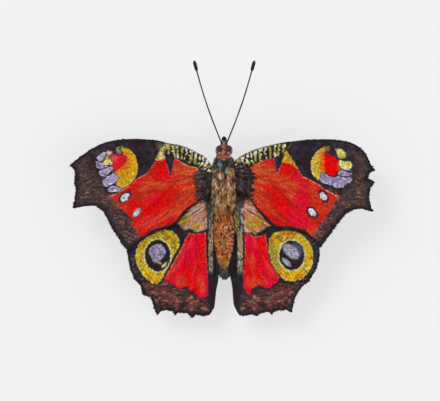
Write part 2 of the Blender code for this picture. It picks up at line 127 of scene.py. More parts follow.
SPOT_PINK_GREY = (196, 168, 164)
HIND_LILAC = (134, 124, 156)
SPOT_GREY_LILAC = (156, 152, 168)
NIGHT_BLUE = (80, 80, 106)
HIND_BROWN = (112, 62, 52)
PATCH_YELLOW = (206, 168, 36)
STRIP_TAN = (190, 164, 118)
STRIP_OLIVE = (150, 140, 66)
RING_GOLD = (204, 166, 16)
RING_RUST = (190, 100, 24)
DARK_OCHRE = (146, 116, 40)
STROKE_DARK = (84, 76, 104)
STROKE_PALE = (206, 198, 214)
STRIPE_GREEN = (156, 152, 74)
STRIPE_PALE = (214, 208, 196)
FRONT_GREY = (112, 110, 92)
VEIN_RED = (110, 16, 18)
FRINGE_COLOUR = (52, 42, 42)
RIMS = {  # a mark's paler rim
    YELLOW: (222, 196, 84),
    MELLOW_YELLOW: (220, 208, 144),
    LILAC: (204, 196, 216),
    BRIGHT_LILAC: (206, 198, 220),
    DUSKY_LILAC: (196, 186, 206),
    HIND_LILAC: (172, 166, 190),
    RING_YELLOW: (212, 202, 130),
    PALE_YELLOW: (232, 222, 160),
}

# The wings' marks. A layer is a colour, its outline or oval, the softness of its edge and the width of a
# black border. An oval is its centre, half sizes and turn in degrees. A strip is a colour and four edges.
MARKS = {}
MARKS["forewing", "left"] = {
    "red": [(9.9, 6.2), (4.9, 3.5), (5.7, 1.6), (5.2, -2.6), (9.1, -6.9), (10.9, -9.0), (16.7, -9.8),
        (17.3, -9.0), (19.0, -6.4), (21.1, -3.7), (23.2, -1.75), (21.0, -0.6), (19.4, 0.4), (17.8, 1.9),
        (15.8, 3.0), (14.3, 4.8), (13.8, 5.9), (12.75, 7.5), (11.9, 6.2), (10.7, 2.5)],
    "brown": [(31.5, 6.4), (27.6, 6.6), (26.6, 4.0), (25.2, 0.6), (23.6, -1.8), (20.4, -5.2), (17.2, -10.4),
        (19.6, -13.0), (24.6, -5.0), (31.0, -4.2)],
    "costa": [(1.9, 3.3), (2.3, 4.6), (2.9, 5.6), (4.1, 6.7), (6.0, 7.7), (8.0, 8.5), (11.2, 9.1),
        (11.9, 9.25)],
    "pools": [
        (BRIGHT_RED, ((12.7, 3.6), (1.5, 2.6), 0)), (CRIMSON, ((11.2, 2.6), (0.5, 1.7), 0)),
        (EMBER, ((12.0, 0.6), (3.2, 0.8), 5)), (BRIGHT_RED, ((13.8, -3.3), (5.2, 1.3), -43)),
        (CRIMSON, ((14.4, -2.2), (1.5, 0.6), -30)), (EMBER, ((11.0, -5.6), (2.8, 1.0), -25)),
        (BRIGHT_RED, ((18.0, -4.2), (1.3, 2.0), 0)), (EMBER, ((15.9, 0.2), (1.6, 0.8), -40)),
        (SALMON_RED, ((14.6, -7.4), (2.2, 1.4), 0)),
    ],
    "layers": [
        (OLIVE_PALE, [(11.0, 8.9), (11.9, 9.0), (12.9, 7.9), (13.2, 7.2), (12.5, 7.3), (11.6, 8.1)], 0.4, 0),
        (SMOKE, [(21.95, 8.3), (21.2, 8.5), (20.7, 8.2), (21.0, 7.2), (21.5, 7.2), (21.9, 7.7)], 0.4, 0),
        (OLIVE_PALE, [(21.6, 8.35), (20.7, 8.6), (19.8, 8.4), (19.9, 8.0), (20.9, 8.2)], 0.25, 0),
        (OLIVE_PALE, [(24.5, 6.3), (23.9, 6.8), (23.3, 6.5), (23.4, 6.0), (24.1, 5.9)], 0.25, 0),
        (YELLOW, [(21.1, 8.1), (20.2, 8.3), (19.4, 8.1), (18.6, 7.5), (18.0, 6.7), (17.7, 5.6), (17.5, 4.4),
            (17.6, 3.3), (17.9, 2.3), (18.5, 1.5), (19.2, 0.8), (20.2, 0.1), (21.0, 0.0), (21.8, 0.5),
            (21.9, 1.2), (21.3, 1.7), (21.5, 2.4), (22.0, 3.0), (22.6, 3.5), (22.7, 4.5), (22.2, 5.6),
            (20.6, 6.7), (20.4, 7.5)], 0.15, 0.22),
        (SPOT_ORANGE, [(20.4, 7.0), (19.5, 6.8), (19.0, 5.6), (19.4, 4.4), (20.6, 3.6), (22.2, 3.1),
            (22.5, 4.2), (21.5, 4.8), (20.6, 5.6)], 0.9, 0),
        (SPOT_RED, [(23.05, 7.0), (21.8, 7.0), (20.7, 6.95), (19.8, 6.5), (19.8, 5.7), (20.4, 5.0),
            (21.2, 4.2), (21.8, 3.6), (22.4, 3.4), (22.65, 4.1), (22.8, 5.2), (23.0, 6.2)], 0.3, 0.05),
        (SPOT_PINK, ((22.3, 6.15), (0.8, 0.7), 0), 0.8, 0),
        (LILAC, [(25.9, 6.25), (25.3, 6.95), (24.6, 7.35), (23.9, 7.4), (24.1, 6.8), (24.4, 6.2),
            (24.7, 5.8), (25.15, 5.55), (25.7, 5.9)], 0.15, 0.2),
        (SPOT_PINK_GREY, [(24.0, 7.3), (23.4, 7.7), (22.6, 7.6), (22.8, 7.2), (23.3, 6.6), (23.7, 6.8)],
            0.25, 0),
        (DUSKY_LILAC, [(26.05, 5.5), (24.9, 5.3), (24.1, 4.9), (23.6, 4.5), (24.3, 4.1), (25.5, 4.0),
            (25.9, 4.4)], 0.15, 0.2),
        (LILAC, [(25.45, 3.4), (24.7, 3.8), (23.7, 4.1), (23.0, 4.45), (22.55, 4.3), (22.65, 3.7),
            (23.3, 3.2), (24.1, 2.4), (24.9, 2.55), (25.4, 2.95)], 0.15, 0.2),
        (BRIGHT_LILAC, [(24.7, 1.4), (24.1, 2.0), (23.3, 2.55), (22.5, 3.1), (21.8, 2.65), (21.4, 2.0),
            (21.8, 1.4), (22.4, 1.1), (23.2, 0.6), (23.9, 0.35), (24.5, 0.75)], 0.15, 0.2),
        (LILAC, [(23.8, -0.2), (23.0, 0.3), (22.2, 0.5), (21.3, 0.1), (20.8, -0.2), (21.3, -0.6),
            (22.4, -0.8), (23.2, -0.8)], 0.15, 0.2),
        (PALE_YELLOW, [(24.6, 5.2), (24.1, 5.9), (23.2, 5.95), (22.6, 5.3), (22.9, 4.75), (23.5, 4.9),
            (24.1, 4.8)], 0.25, 0.08),
        (WHITE, ((20.1, -1.85), (1.1, 0.66), -42), 0.12, 0.26),
        (WHITE, ((17.7, -5.0), (1.05, 0.48), -50), 0.3, 0.1),
        (PALE_YELLOW, [(13.8, 5.9), (12.75, 7.6), (11.9, 6.2), (12.9, 5.8)], 0.5, 0),
    ],
}
MARKS["forewing", "right"] = {
    "red": [(10.3, 6.7), (9.7, 6.4), (6.3, 4.95), (6.4, 1.6), (5.7, -2.4), (12.8, -9.6), (16.6, -9.7),
        (17.8, -10.2), (19.1, -9.3), (19.1, -8.3), (20.9, -6.0), (22.5, -3.4), (23.6, -1.75), (22.2, -0.8),
        (20.8, -0.1), (19.7, 0.75), (18.5, 1.5), (16.4, 2.4), (15.6, 3.6), (14.6, 5.2), (13.0, 7.6),
        (12.2, 5.4), (11.1, 3.0)],
    "brown": [(29.4, 7.0), (27.0, 7.4), (27.3, 3.0), (26.2, 0.6), (24.6, -1.6), (20.8, -6.6), (17.4, -10.6),
        (19.8, -13.0), (25.3, -5.4), (31.0, -5.0)],
    "costa": [(1.9, 4.9), (2.5, 5.7), (5.9, 7.6), (10.5, 8.95), (13.0, 9.4)],
    "pools": [
        (CRIMSON, ((10.2, 6.0), (0.9, 1.1), 0)), (BRIGHT_RED, ((13.1, 4.2), (1.6, 1.6), 0)),
        (CRIMSON, ((15.2, 2.6), (1.1, 1.1), 0)), (EMBER, ((12.6, 1.3), (3.2, 0.9), -20)),
        (EMBER, ((14.2, -0.8), (1.4, 1.2), 0)), (BRIGHT_RED, ((12.0, -3.4), (4.0, 1.6), -60)),
        (CRIMSON, ((16.4, -2.2), (1.6, 2.4), 0)), (EMBER, ((18.6, -0.9), (1.3, 1.4), 0)),
        (CRIMSON, ((15.6, -6.6), (2.8, 1.4), -35)), (EMBER, ((17.4, -8.9), (1.2, 0.6), 0)),
    ],
    "layers": [
        (MELLOW_YELLOW, [(21.9, 8.5), (20.8, 8.4), (19.9, 7.95), (19.1, 7.3), (18.45, 6.4), (18.05, 5.2),
            (18.05, 4.0), (18.4, 2.9), (18.9, 2.2), (19.5, 1.75), (19.95, 2.2), (20.1, 3.0), (21.0, 3.4),
            (21.2, 5.5), (20.8, 7.4), (21.3, 7.8)], 0.15, 0.22),
        (RING_BROWN, ((21.3, 8.1), (0.6, 0.5), 0), 0.6, 0),
        (SPOT_ORANGE, [(20.5, 7.7), (19.9, 6.8), (19.7, 4.6), (20.2, 3.3), (21.0, 3.2), (21.2, 5.5),
            (20.8, 7.5)], 0.7, 0),
        (BRIGHT_RED, [(20.9, 7.35), (21.9, 7.0), (23.05, 6.2), (23.65, 5.7), (23.65, 4.0), (23.3, 2.9),
            (22.7, 2.35), (21.7, 2.55), (21.0, 2.9), (20.8, 4.5)], 0.35, 0),
        (SPOT_ORANGE, ((23.8, 4.7), (0.35, 0.9), 0), 0.6, 0),
        (LILAC, [(20.2, 3.1), (20.8, 3.1), (21.4, 2.6), (22.7, 2.2), (23.5, 2.4), (25.0, 2.15), (26.2, 2.3),
            (26.5, 1.9), (26.0, 1.2), (25.0, 0.8), (24.6, 0.2), (23.1, 0.15), (22.2, 0.7), (21.1, 0.9),
            (20.2, 1.3), (19.85, 1.7)], 0.15, 0.2),
        (LILAC, [(23.5, 2.75), (23.8, 3.65), (24.4, 3.6), (25.8, 3.2), (26.4, 3.05), (26.3, 2.6),
            (25.0, 2.5)], 0.15, 0.08),
        (PALE_YELLOW, [(23.1, 8.0), (23.85, 8.1), (24.7, 7.7), (25.25, 7.2), (24.95, 6.2), (24.25, 6.1),
            (23.6, 6.5), (23.5, 7.2)], 0.2, 0.14),
        (PALE_YELLOW, [(23.85, 5.8), (24.7, 5.55), (25.8, 5.55), (26.5, 4.9), (26.35, 4.2), (25.5, 4.0),
            (24.7, 4.1), (24.1, 4.2), (23.85, 4.9)], 0.2, 0.14),
        (WHITE, ((25.2, 3.95), (0.8, 0.2), -8), 0.2, 0),
        (WHITE, ((20.6, -1.65), (0.95, 0.6), -55), 0.12, 0.3),
        (WHITE, ((18.35, -4.95), (1.0, 0.62), -43), 0.12, 0.3),
        (YELLOW, [(12.2, 5.4), (12.95, 7.7), (13.6, 6.7), (15.3, 4.1), (14.3, 4.9), (13.4, 5.3)], 0.5, 0),
    ],
}
MARKS["hindwing", "left"] = {
    "red": [(7.0, -9.1), (5.1, -9.4), (3.5, -8.9), (3.4, -13.4), (3.2, -17.2), (3.0, -22.1), (4.9, -22.4),
        (5.4, -21.4), (6.8, -21.4), (7.3, -20.4), (9.5, -20.2), (12.1, -18.8), (10.6, -15.9), (8.9, -12.9),
        (7.8, -10.6)],
    "pools": [
        (CRIMSON, ((6.0, -14.0), (0.9, 3.0), 0)), (SALMON_RED, ((9.7, -15.2), (3.4, 0.7), -61)),
        (EMBER, ((8.5, -18.9), (1.4, 1.2), 0)), (BRIGHT_RED, ((5.8, -21.0), (1.0, 0.7), 0)),
        (BRIGHT_RED, ((7.2, -17.2), (1.2, 2.0), 0)), (EMBER, ((4.2, -19.8), (0.8, 1.8), 0)),
    ],
    "patch": [(9.3, -7.0), (7.2, -4.6), (4.9, -2.0), (3.5, -2.4), (3.2, -5.8), (3.2, -8.3), (5.3, -8.9),
        (6.8, -8.3), (8.0, -8.6)],
    "tan": (227, 168, 142),
    "yellows": [((7.9, -6.5), (1.5, 0.75), -33), ((5.3, -7.8), (1.0, 0.75), 0)],
    "strips": [((158, 154, 140), 2.05, 3.0, -9.6, -3.4), (STRIP_TAN, 2.05, 3.0, -17.2, -8.4)],
    "brown": [(15.6, -19.6), (12.0, -19.2), (9.0, -20.6), (6.6, -21.8), (3.4, -22.8), (2.8, -25.4),
        (13.6, -25.2), (14.6, -22.6), (16.2, -21.4)],
    "layers": [
        (RING_YELLOW, [(11.6, -8.5), (10.4, -8.8), (9.5, -9.7), (8.9, -11.0), (9.0, -11.8), (9.8, -13.2),
            (10.9, -15.3), (12.0, -17.5), (12.8, -19.1), (13.5, -19.6), (14.5, -19.5), (15.6, -18.7),
            (16.8, -17.5), (17.6, -15.8), (18.0, -14.0), (17.9, -13.0), (17.5, -11.8), (17.0, -11.0),
            (15.6, -10.1), (13.8, -9.2), (12.8, -8.7)], 0.15, 0.26),
        (RING_PALE, ((13.4, -13.8), (2.9, 3.5), 0), 0.2, 0),
        (BLACK, ((13.4, -13.8), (2.65, 3.25), 0), 0.15, 0),
        (HIND_LILAC, [(15.2, -12.9), (14.7, -12.0), (13.9, -11.5), (12.8, -11.5), (12.0, -12.3),
            (11.75, -13.2), (12.3, -14.1), (13.1, -14.8), (13.75, -15.3), (14.2, -15.0), (14.6, -14.3),
            (15.1, -13.6)], 0.25, 0),
        (RING_PALE, [(11.5, -15.0), (11.7, -15.9), (12.4, -16.3), (12.7, -16.1), (12.2, -15.6),
            (11.9, -15.2)], 0.3, 0),
        (SPOT_PINK_GREY, ((13.0, -15.35), (0.45, 0.25), 20), 0.2, 0),
    ],
}
MARKS["hindwing", "right"] = {
    "red": [(4.5, -9.4), (5.3, -9.1), (6.5, -10.0), (8.75, -9.4), (9.1, -11.5), (9.7, -14.4), (10.65, -16.5),
        (11.8, -18.2), (11.2, -19.3), (9.7, -20.3), (7.6, -20.0), (6.3, -20.8), (5.2, -21.5), (4.2, -20.0),
        (4.2, -17.2), (4.5, -13.4)],
    "pools": [
        (CRIMSON, ((6.0, -10.6), (1.2, 1.0), 0)), (BRIGHT_RED, ((7.9, -13.6), (1.0, 2.6), -10)),
        (EMBER, ((6.0, -14.9), (0.9, 1.8), 0)), (BRIGHT_RED, ((5.2, -17.0), (0.9, 1.6), 0)),
        (CRIMSON, ((9.7, -19.9), (1.2, 0.9), 0)), (EMBER, ((6.4, -19.6), (1.8, 1.0), 0)),
        (SALMON_RED, ((9.9, -17.0), (0.5, 2.0), 30)),
    ],
    "patch": [(4.4, -2.0), (5.8, -2.0), (10.4, -7.3), (8.6, -8.1), (7.8, -8.7), (6.7, -9.4), (5.7, -8.9),
        (4.4, -9.1)],
    "tan": (238, 141, 99),
    "yellows": [((6.1, -7.4), (1.3, 1.5), 0), ((7.3, -6.4), (0.9, 0.5), -30)],
    "strips": [
        (STRIP_OLIVE, 2.3, 3.4, -9.2, -2.6), (STRIP_TAN, 3.0, 4.1, -17.4, -8.4),
        ((164, 158, 150), 3.6, 4.3, -9.2, -4.0),
    ],
    "brown": [(15.4, -20.2), (12.0, -19.8), (9.4, -21.0), (6.6, -21.4), (4.0, -21.8), (3.4, -25.4),
        (13.4, -25.2), (14.2, -22.6)],
    "layers": [
        (RING_YELLOW, [(10.3, -9.2), (12.0, -8.7), (13.8, -8.7), (15.6, -9.2), (17.2, -10.4), (18.2, -12.0),
            (18.6, -13.8), (18.4, -15.6), (17.5, -17.4), (16.0, -18.7), (14.4, -19.1), (12.8, -18.9),
            (11.2, -17.4), (10.0, -15.2), (9.4, -12.8), (9.6, -10.4)], 0.15, 0.26),
        (RING_OLIVE, ((10.8, -14.4), (0.9, 2.6), 18), 0.7, 0),
        (SPOT_ORANGE, ((13.8, -9.4), (1.6, 0.22), 0), 0.2, 0),
        (SPOT_ORANGE, ((16.0, -18.0), (1.1, 0.22), 28), 0.2, 0),
        (RING_PALE, ((14.15, -13.75), (2.9, 3.35), 0), 0.2, 0),
        (BLACK, ((14.15, -13.75), (2.6, 3.05), 0), 0.15, 0),
        (NIGHT_BLUE, ((15.2, -12.6), (1.1, 1.5), 20), 0.8, 0),
        (SPOT_GREY_LILAC, ((14.0, -12.95), (2.0, 1.15), -42), 0.3, 0),
        (SPOT_GREY_LILAC, ((13.1, -15.2), (1.15, 0.5), -45), 0.2, 0),
    ],
}


# Plane geometry


def smooth_line(points, step):
    """Places about one step apart on a smooth line (Catmull-Rom) through the given points."""
    knots = np.array(points, float)
    ends = np.vstack([2 * knots[0] - knots[1], knots, 2 * knots[-1] - knots[-2]])
    line = []
    for before, start, end, after in zip(ends, ends[1:], ends[2:], ends[3:]):
        pieces = max(1, round(np.linalg.norm(end - start) / step))
        t = np.arange(pieces)[:, None] / pieces
        square = t**2 * (2 * before - 5 * start + 4 * end - after)
        cube = t**3 * (3 * start - before - 3 * end + after)
        line.append((2 * start + t * (end - before) + square + cube) / 2)
    return np.vstack([*line, knots[-1:]])


def nearest_on(places, path):
    """Each place's distance to a path, and how far along the path its nearest point lies."""
    nearest = np.full(len(places), 1e9)
    travelled = np.zeros(len(places))
    start_length = 0.0
    for start, end in zip(path, path[1:]):
        way = end - start
        length = math.hypot(*way)
        share = np.clip(((places - start) @ way) / length**2, 0, 1)
        gap = places - start - share[:, None] * way
        distance = np.hypot(gap[:, 0], gap[:, 1])
        travelled = np.where(distance < nearest, start_length + share * length, travelled)
        nearest = np.minimum(nearest, distance)
        start_length += length
    return nearest, travelled


def distance_along(points):
    """How far along a path each of its points lies."""
    return np.concatenate([[0], np.cumsum(np.linalg.norm(np.diff(points, axis=0), axis=1))])


def at_distances(points, travelled, wanted):
    """The places at the wanted distances along a path."""
    return np.column_stack([np.interp(wanted, travelled, axis) for axis in points.T])


def inside(places, outline):
    reach, along = places.T
    odd = np.zeros(len(places), bool)
    for (x0, y0), (x1, y1) in zip(outline, np.roll(outline, -1, axis=0)):
        if y0 != y1:
            crosses = (y0 > along) != (y1 > along)
            odd ^= crosses & (reach < x0 + (along - y0) / (y1 - y0) * (x1 - x0))
    return odd


def area_depth(places, outline):
    """How far inside an outline each place lies. Outside it is negative."""
    outline = np.array(outline, float)
    distance, _ = nearest_on(places, np.vstack([outline, outline[:1]]))
    return np.where(inside(places, outline), distance, -distance)


def oval_depth(places, centre, half_sizes, turn):
    """The same for an oval that is turned by some degrees."""
    gap = places - np.array(centre)
    angle = math.radians(turn)
    across = gap[:, 0] * math.cos(angle) + gap[:, 1] * math.sin(angle)
    up = gap[:, 1] * math.cos(angle) - gap[:, 0] * math.sin(angle)
    return (1 - np.hypot(across / half_sizes[0], up / half_sizes[1])) * min(half_sizes)


def noise(x, y, size, seed):
    """Smooth noise from 0 to 1 with blobs of about the given size."""
    grid = np.random.default_rng(seed).random((64, 64))
    u, v = np.asarray(x) / size, np.asarray(y) / size
    i, j = np.floor(u).astype(int), np.floor(v).astype(int)
    fu, fv = u - i, v - j
    fu, fv = fu * fu * (3 - 2 * fu), fv * fv * (3 - 2 * fv)
    low = grid[i % 64, j % 64] * (1 - fu) + grid[(i + 1) % 64, j % 64] * fu
    high = grid[i % 64, (j + 1) % 64] * (1 - fu) + grid[(i + 1) % 64, (j + 1) % 64] * fu
    return low * (1 - fv) + high * fv


def warped(places, shift, size, seed):
    """Places moved a little by noise, so that an edge drawn through them isn't ruled."""
    moves = [noise(*places.T, size, seed + i) - 0.5 for i in range(2)]
    return places + 2 * shift * np.column_stack(moves)


# Painting


def plain(colour, places):
    """The same colour at every place."""
    return np.tile(np.array(colour, float), (len(places), 1))


def laid(colours, *coats):
    """Lays coats over colours in turn. A coat is a colour, or an array of them, and its cover from 0 to 1."""
    for colour, cover in coats:
        colours = colours + np.clip(cover, 0, 1)[:, None] * (np.array(colour, float) - colours)
    return colours


def grained(colours, grain, spread):
    """Colours made lighter and darker by a noise, over the given spread."""
    return colours * (1 - spread / 2 + spread * grain)[:, None]


def edge(depth, softness):
    return np.clip(0.5 + depth / softness, 0, 1)


def streaks(places, hub, width, length, seed):
    """Noise drawn out along lines that spread from the wing's hub."""
    gap = places - np.array(hub)
    angle = np.arctan2(gap[:, 1], gap[:, 0])
    return noise(angle * 14 / width, np.hypot(*gap.T) / length, 1.0, seed)


def paint_layers(colours, places, layers):
    """Lays marks over one another, with paler rims and with strokes that depend on a mark's colour."""
    reach, along = places.T
    slanted = places @ np.array([(0.7, 0.7), (-0.7, 0.7)]) * (1.7, 0.6)
    uneven = noise(reach, along, 0.45, 30)
    golden = 0.8 * edge(noise(reach, along, 1.1, 46) - 0.5, 0.3)
    browned = 0.75 * edge(0.30 - noise(*slanted.T, 0.45, 29), 0.12)
    reddened = 0.7 * edge(noise(*slanted.T, 0.6, 48) - 0.74, 0.1)
    dashes = 0.65 * edge(0.29 - noise(reach * 1.5, along, 0.42, 49), 0.1)
    strokes = noise(reach * 0.8, along * 1.3, 0.42, 47)
    for colour, shape, softness, border in layers:
        depth = area_depth(places, shape) if isinstance(shape, list) else oval_depth(places, *shape)
        cover = edge(depth, softness)
        coats = [(BLACK, edge(depth + border, 0.12))] if border else []
        coats.append((colour, cover))
        if colour in RIMS:
            coats.append((RIMS[colour], cover * edge(0.24 * uneven + 0.06 - depth, 0.2) * 0.8))
            coats.append((RIMS[colour], cover * edge(uneven - 0.74, 0.15) * 0.7))
        if colour == RING_YELLOW:
            coats.append((RING_GOLD, golden * cover * edge(depth - 0.3, 0.2)))
            coats.append((RING_BROWN, browned * cover))
            coats.append((RING_RUST, reddened * cover))
        if colour in (YELLOW, MELLOW_YELLOW, PALE_YELLOW, OLIVE_PALE):
            coats.append((BLACK if colour == OLIVE_PALE else DARK_OCHRE, dashes * cover))
        if colour in (LILAC, HIND_LILAC, SPOT_GREY_LILAC, WHITE):
            coats.append((STROKE_DARK, 0.7 * edge(0.05 - np.abs(strokes - 0.4), 0.05) * cover))
            coats.append((STROKE_PALE, 0.6 * edge(0.04 - np.abs(strokes - 0.64), 0.06) * cover))
        colours = laid(colours, *coats)
    return colours


def paint_pools(reds, places, pools, streaked):
    """Soft pools of other reds in a red field, with streaky edges."""
    uneven = 1.1 * (streaked - 0.5)
    coats = [(colour, 0.85 * edge(oval_depth(places, *oval) + uneven, 1.1)) for colour, oval in pools]
    return laid(reds, *coats)


def paint_costa(colours, places, path):
    """Uneven pale bars across the front edge, from the root to about two fifths of the wing."""
    line = smooth_line(path, 0.4)
    distance, travelled = nearest_on(places, line)
    length = np.hypot(*np.diff(line, axis=0).T).sum()
    width = 2.6 - 0.6 * np.clip((travelled - length + 2.5) / 2.5, 0, 1) - 0.5 * np.clip(2.5 - travelled, 0, 1)
    band = edge(width - distance, 0.2) * edge(travelled - 0.1, 0.3) * edge(length - 0.05 - travelled, 0.2)
    sway = 2.6 * noise(travelled, distance * 0.5, 0.8, 17) + 1.4 * noise(travelled, distance, 0.4, 19)
    bars = np.sin(2 * math.pi * (travelled + 0.25 * distance) + 1.5 * sway)
    ragged = width - 0.15 - distance + 0.7 * (noise(travelled, distance, 0.5, 28) - 0.5)
    pale = edge(bars + 0.12, 0.4) * edge(distance - 0.12, 0.12) * edge(ragged, 0.25)
    pale = pale * (1 - 0.8 * edge(noise(travelled, distance, 0.45, 35) - 0.72, 0.12))
    green = noise(travelled, distance, 0.7, 20)
    stripe = laid(
        plain(STRIPE, places),
        (STRIPE_GREEN, edge(green - 0.56, 0.3)),
        (STRIPE_PALE, edge(0.36 - green, 0.2)),
    )
    front_line = 0.8 * edge(0.16 - distance, 0.1) * edge(length - travelled, 0.3)
    return laid(colours, (BLACK, band), (stripe, band * pale), (FRONT_GREY, front_line))


def paint_forewing(places, side):
    marks = MARKS["forewing", side]
    reach, along = places.T
    spots = warped(places, 0.09, 0.4, 11)
    fine = streaks(places, HUBS["forewing"], 0.35, 2.0, 12)
    broad = streaks(places, HUBS["forewing"], 1.6, 7.0, 13)
    rim = area_depth(places, OUTLINES["forewing", side]) + 0.8 * (noise(reach, along, 0.6, 50) - 0.5)
    margin = edge(area_depth(spots, marks["brown"]), 2.0) * (0.45 + 0.55 * fine) * edge(rim - 0.75, 0.7)
    flecks, gaps = (noise(reach * 0.55, along * 1.5, 0.34, seed) for seed in (36, 37))
    outer = np.clip((reach - 15) / 3, 0, 1) * np.clip((1 - along) / 2, 0, 1)
    blend = edge(area_depth(spots, marks["red"]) + 0.6, 0.8) * outer
    blend = blend * edge(noise(reach, along, 0.4, 39) - 0.5, 0.2)
    colours = laid(
        plain(BLACK, places),
        ((58, 50, 66), 0.6 * edge(noise(reach, along, 0.9, 14) - 0.6, 0.3)),
        (BROWN, margin),
        ((156, 116, 102), 0.8 * margin * edge(flecks - 0.7, 0.1)),
        ((42, 35, 38), 0.85 * margin * edge(0.4 - gaps, 0.1)),
        ((72, 70, 66), 0.6 * edge(reach - 22, 2) * edge(noise(reach, along, 0.35, 74) - 0.68, 0.1)),
        ((158, 92, 74), 0.7 * blend),
    )
    jagged = spots.copy()
    jagged[:, 0] += 2.2 * (noise(reach * 0.2, along, 0.33, 15) - 0.5) * np.clip((8.5 - reach) / 2.5, 0, 1)
    ragged = 0.7 * outer * (noise(reach, along, 0.5, 38) - 0.5)
    field = edge(area_depth(jagged, marks["red"]) + ragged, 0.14)
    # Painted highlight: a pale line just inside the red field's front edge.
    front = edge(-area_depth(jagged + (0, 0.24), marks["red"]), 0.1)
    front = front * edge(noise(reach, along, 0.7, 40) - 0.25, 0.3)
    warmth = np.clip((11.0 - reach + 5 * (broad - 0.5)) / 5.5, 0, 1)
    reds = laid(plain(RED, places), (ORANGE_RED, 0.8 * edge(broad - 0.6, 0.2)), (ORANGE, warmth))
    reds = laid(
        paint_pools(reds, places, marks["pools"], fine),
        ((212, 104, 66), 0.5 * (0.2 + warmth) * edge(fine - 0.68, 0.2)),
        ((146, 12, 14), 0.35 * edge(0.28 - fine, 0.15)),
        # the painted highlight along the red field's front edge
        (PAINTED_HIGHLIGHT, 0.85 * front),
    )
    veins = 0.22 * field * edge(0.08 - vein_distance(places, "forewing"), 0.1)
    colours = laid(colours, (reds, field), (VEIN_RED, veins))
    colours = paint_costa(colours, spots, marks["costa"])
    return grained(paint_layers(colours, spots, marks["layers"]), noise(reach, along, 0.22, 18), 0.32)


def paint_hindwing(places, side):
    marks = MARKS["hindwing", side]
    reach, along = places.T
    spots = warped(places, 0.09, 0.4, 21)
    fine = streaks(places, HUBS["hindwing"], 0.4, 2.0, 22)
    broad = streaks(places, HUBS["hindwing"], 1.4, 6.0, 23)
    rim = area_depth(places, OUTLINES["hindwing", side]) + 0.6 * (noise(reach, along, 0.6, 78) - 0.5)
    margin = edge(area_depth(spots, marks["brown"]), 1.1) * edge(rim - 0.55, 0.5)
    flecks, gaps = (noise(reach * 0.5, along * 1.5, 0.36, seed) for seed in (41, 42))
    border = edge(reach - 14.0, 2.0) * edge(noise(reach, along * 1.4, 0.4, 43) - 0.55, 0.15)
    toothed = spots.copy()
    toothed[:, 1] -= 0.8 * (noise(reach, along * 0.2, 0.7, 25) - 0.5) * np.clip((-17 - along) / 2, 0, 1)
    depth = area_depth(toothed, marks["red"])
    colours = laid(
        plain(BLACK, places),
        (BLUE_BLACK, edge(noise(reach, along, 1.5, 24) - 0.5, 0.4)),
        ((104, 84, 74), edge(along + 5.2, 2.5) * 0.6),
        (HIND_BROWN, margin * (0.6 + 0.4 * fine)),
        ((172, 116, 98), 0.8 * margin * edge(flecks - 0.7, 0.1)),
        ((46, 35, 37), 0.85 * margin * edge(0.37 - gaps, 0.1)),
        ((112, 102, 100), 0.6 * border * (1 - margin)),
        (BLACK, edge(depth + 0.22, 0.12) * (along > -17.5)),
    )
    # Painted highlight: a pale line just inside the red field's edge, towards the front of the wing.
    painted_highlight_rim = edge(0.2 - depth, 0.1) * edge(along + 18.0, 1.0)
    painted_highlight_rim = painted_highlight_rim * edge(noise(reach, along, 0.7, 77) - 0.3, 0.3)
    reds = laid(plain(RED, places), (CRIMSON, edge(broad - 0.5, 0.5)))
    reds = laid(
        paint_pools(reds, places, marks["pools"], fine),
        ((208, 62, 52), 0.6 * edge(fine - 0.72, 0.2)),
        # the painted highlight inside the red field's edge
        (PAINTED_HIGHLIGHT, 0.6 * painted_highlight_rim),
    )
    field = edge(depth, 0.16)
    veins = 0.22 * field * edge(0.08 - vein_distance(places, "hindwing"), 0.1)
    colours = laid(colours, (reds, field), (VEIN_RED, veins))
    dense = edge(noise(reach * 1.4, along * 1.1, 0.34, 26) - 0.36, 0.12)
    light = edge(noise(reach * 1.3, along * 1.2, 0.3, 44) - 0.66, 0.1)
    for colour, low, high, rear, front in marks["strips"]:
        across = edge(reach - low, 0.2) * edge(high - reach, 0.2)
        strip = across * edge(along - rear, 1.2) * edge(front - along, 1.2)
        colours = laid(colours, (colour, strip * (0.2 + 0.8 * dense)), ((216, 210, 200), 0.8 * strip * light))
    blobs = noise(reach, along, 0.75, 45)
    yellow = np.max([oval_depth(spots, *oval) for oval in marks["yellows"]], axis=0)
    yellow = edge(yellow + 0.5 * (blobs - 0.5), 0.4)
    patch = area_depth(spots, marks["patch"])
    hairs = laid(
        plain(marks["tan"], places),
        (PATCH_YELLOW, yellow),
        ((214, 132, 72), 0.7 * edge(0.34 - blobs, 0.15)),
        ((228, 208, 200), (0.8 - 0.5 * yellow) * edge(fine - 0.68, 0.12)),
        ((100, 72, 56), (0.8 - 0.4 * yellow) * edge(0.25 - fine, 0.12)),
        ((206, 200, 170), 0.6 * edge(0.4 - patch, 0.2) * edge(-6.5 - along, 0.6)),
        ((60, 54, 60), 0.8 * edge(along + 3.2 + 1.4 * (blobs - 0.5), 0.6) * edge(0.62 - fine, 0.2)),
    )
    colours = laid(colours, (hairs, edge(patch, 0.25)))
    return grained(paint_layers(colours, spots, marks["layers"]), noise(reach, along, 0.22, 27), 0.32)


UNDER_BAND_REACH = {"forewing": 17.0, "hindwing": 12.5}


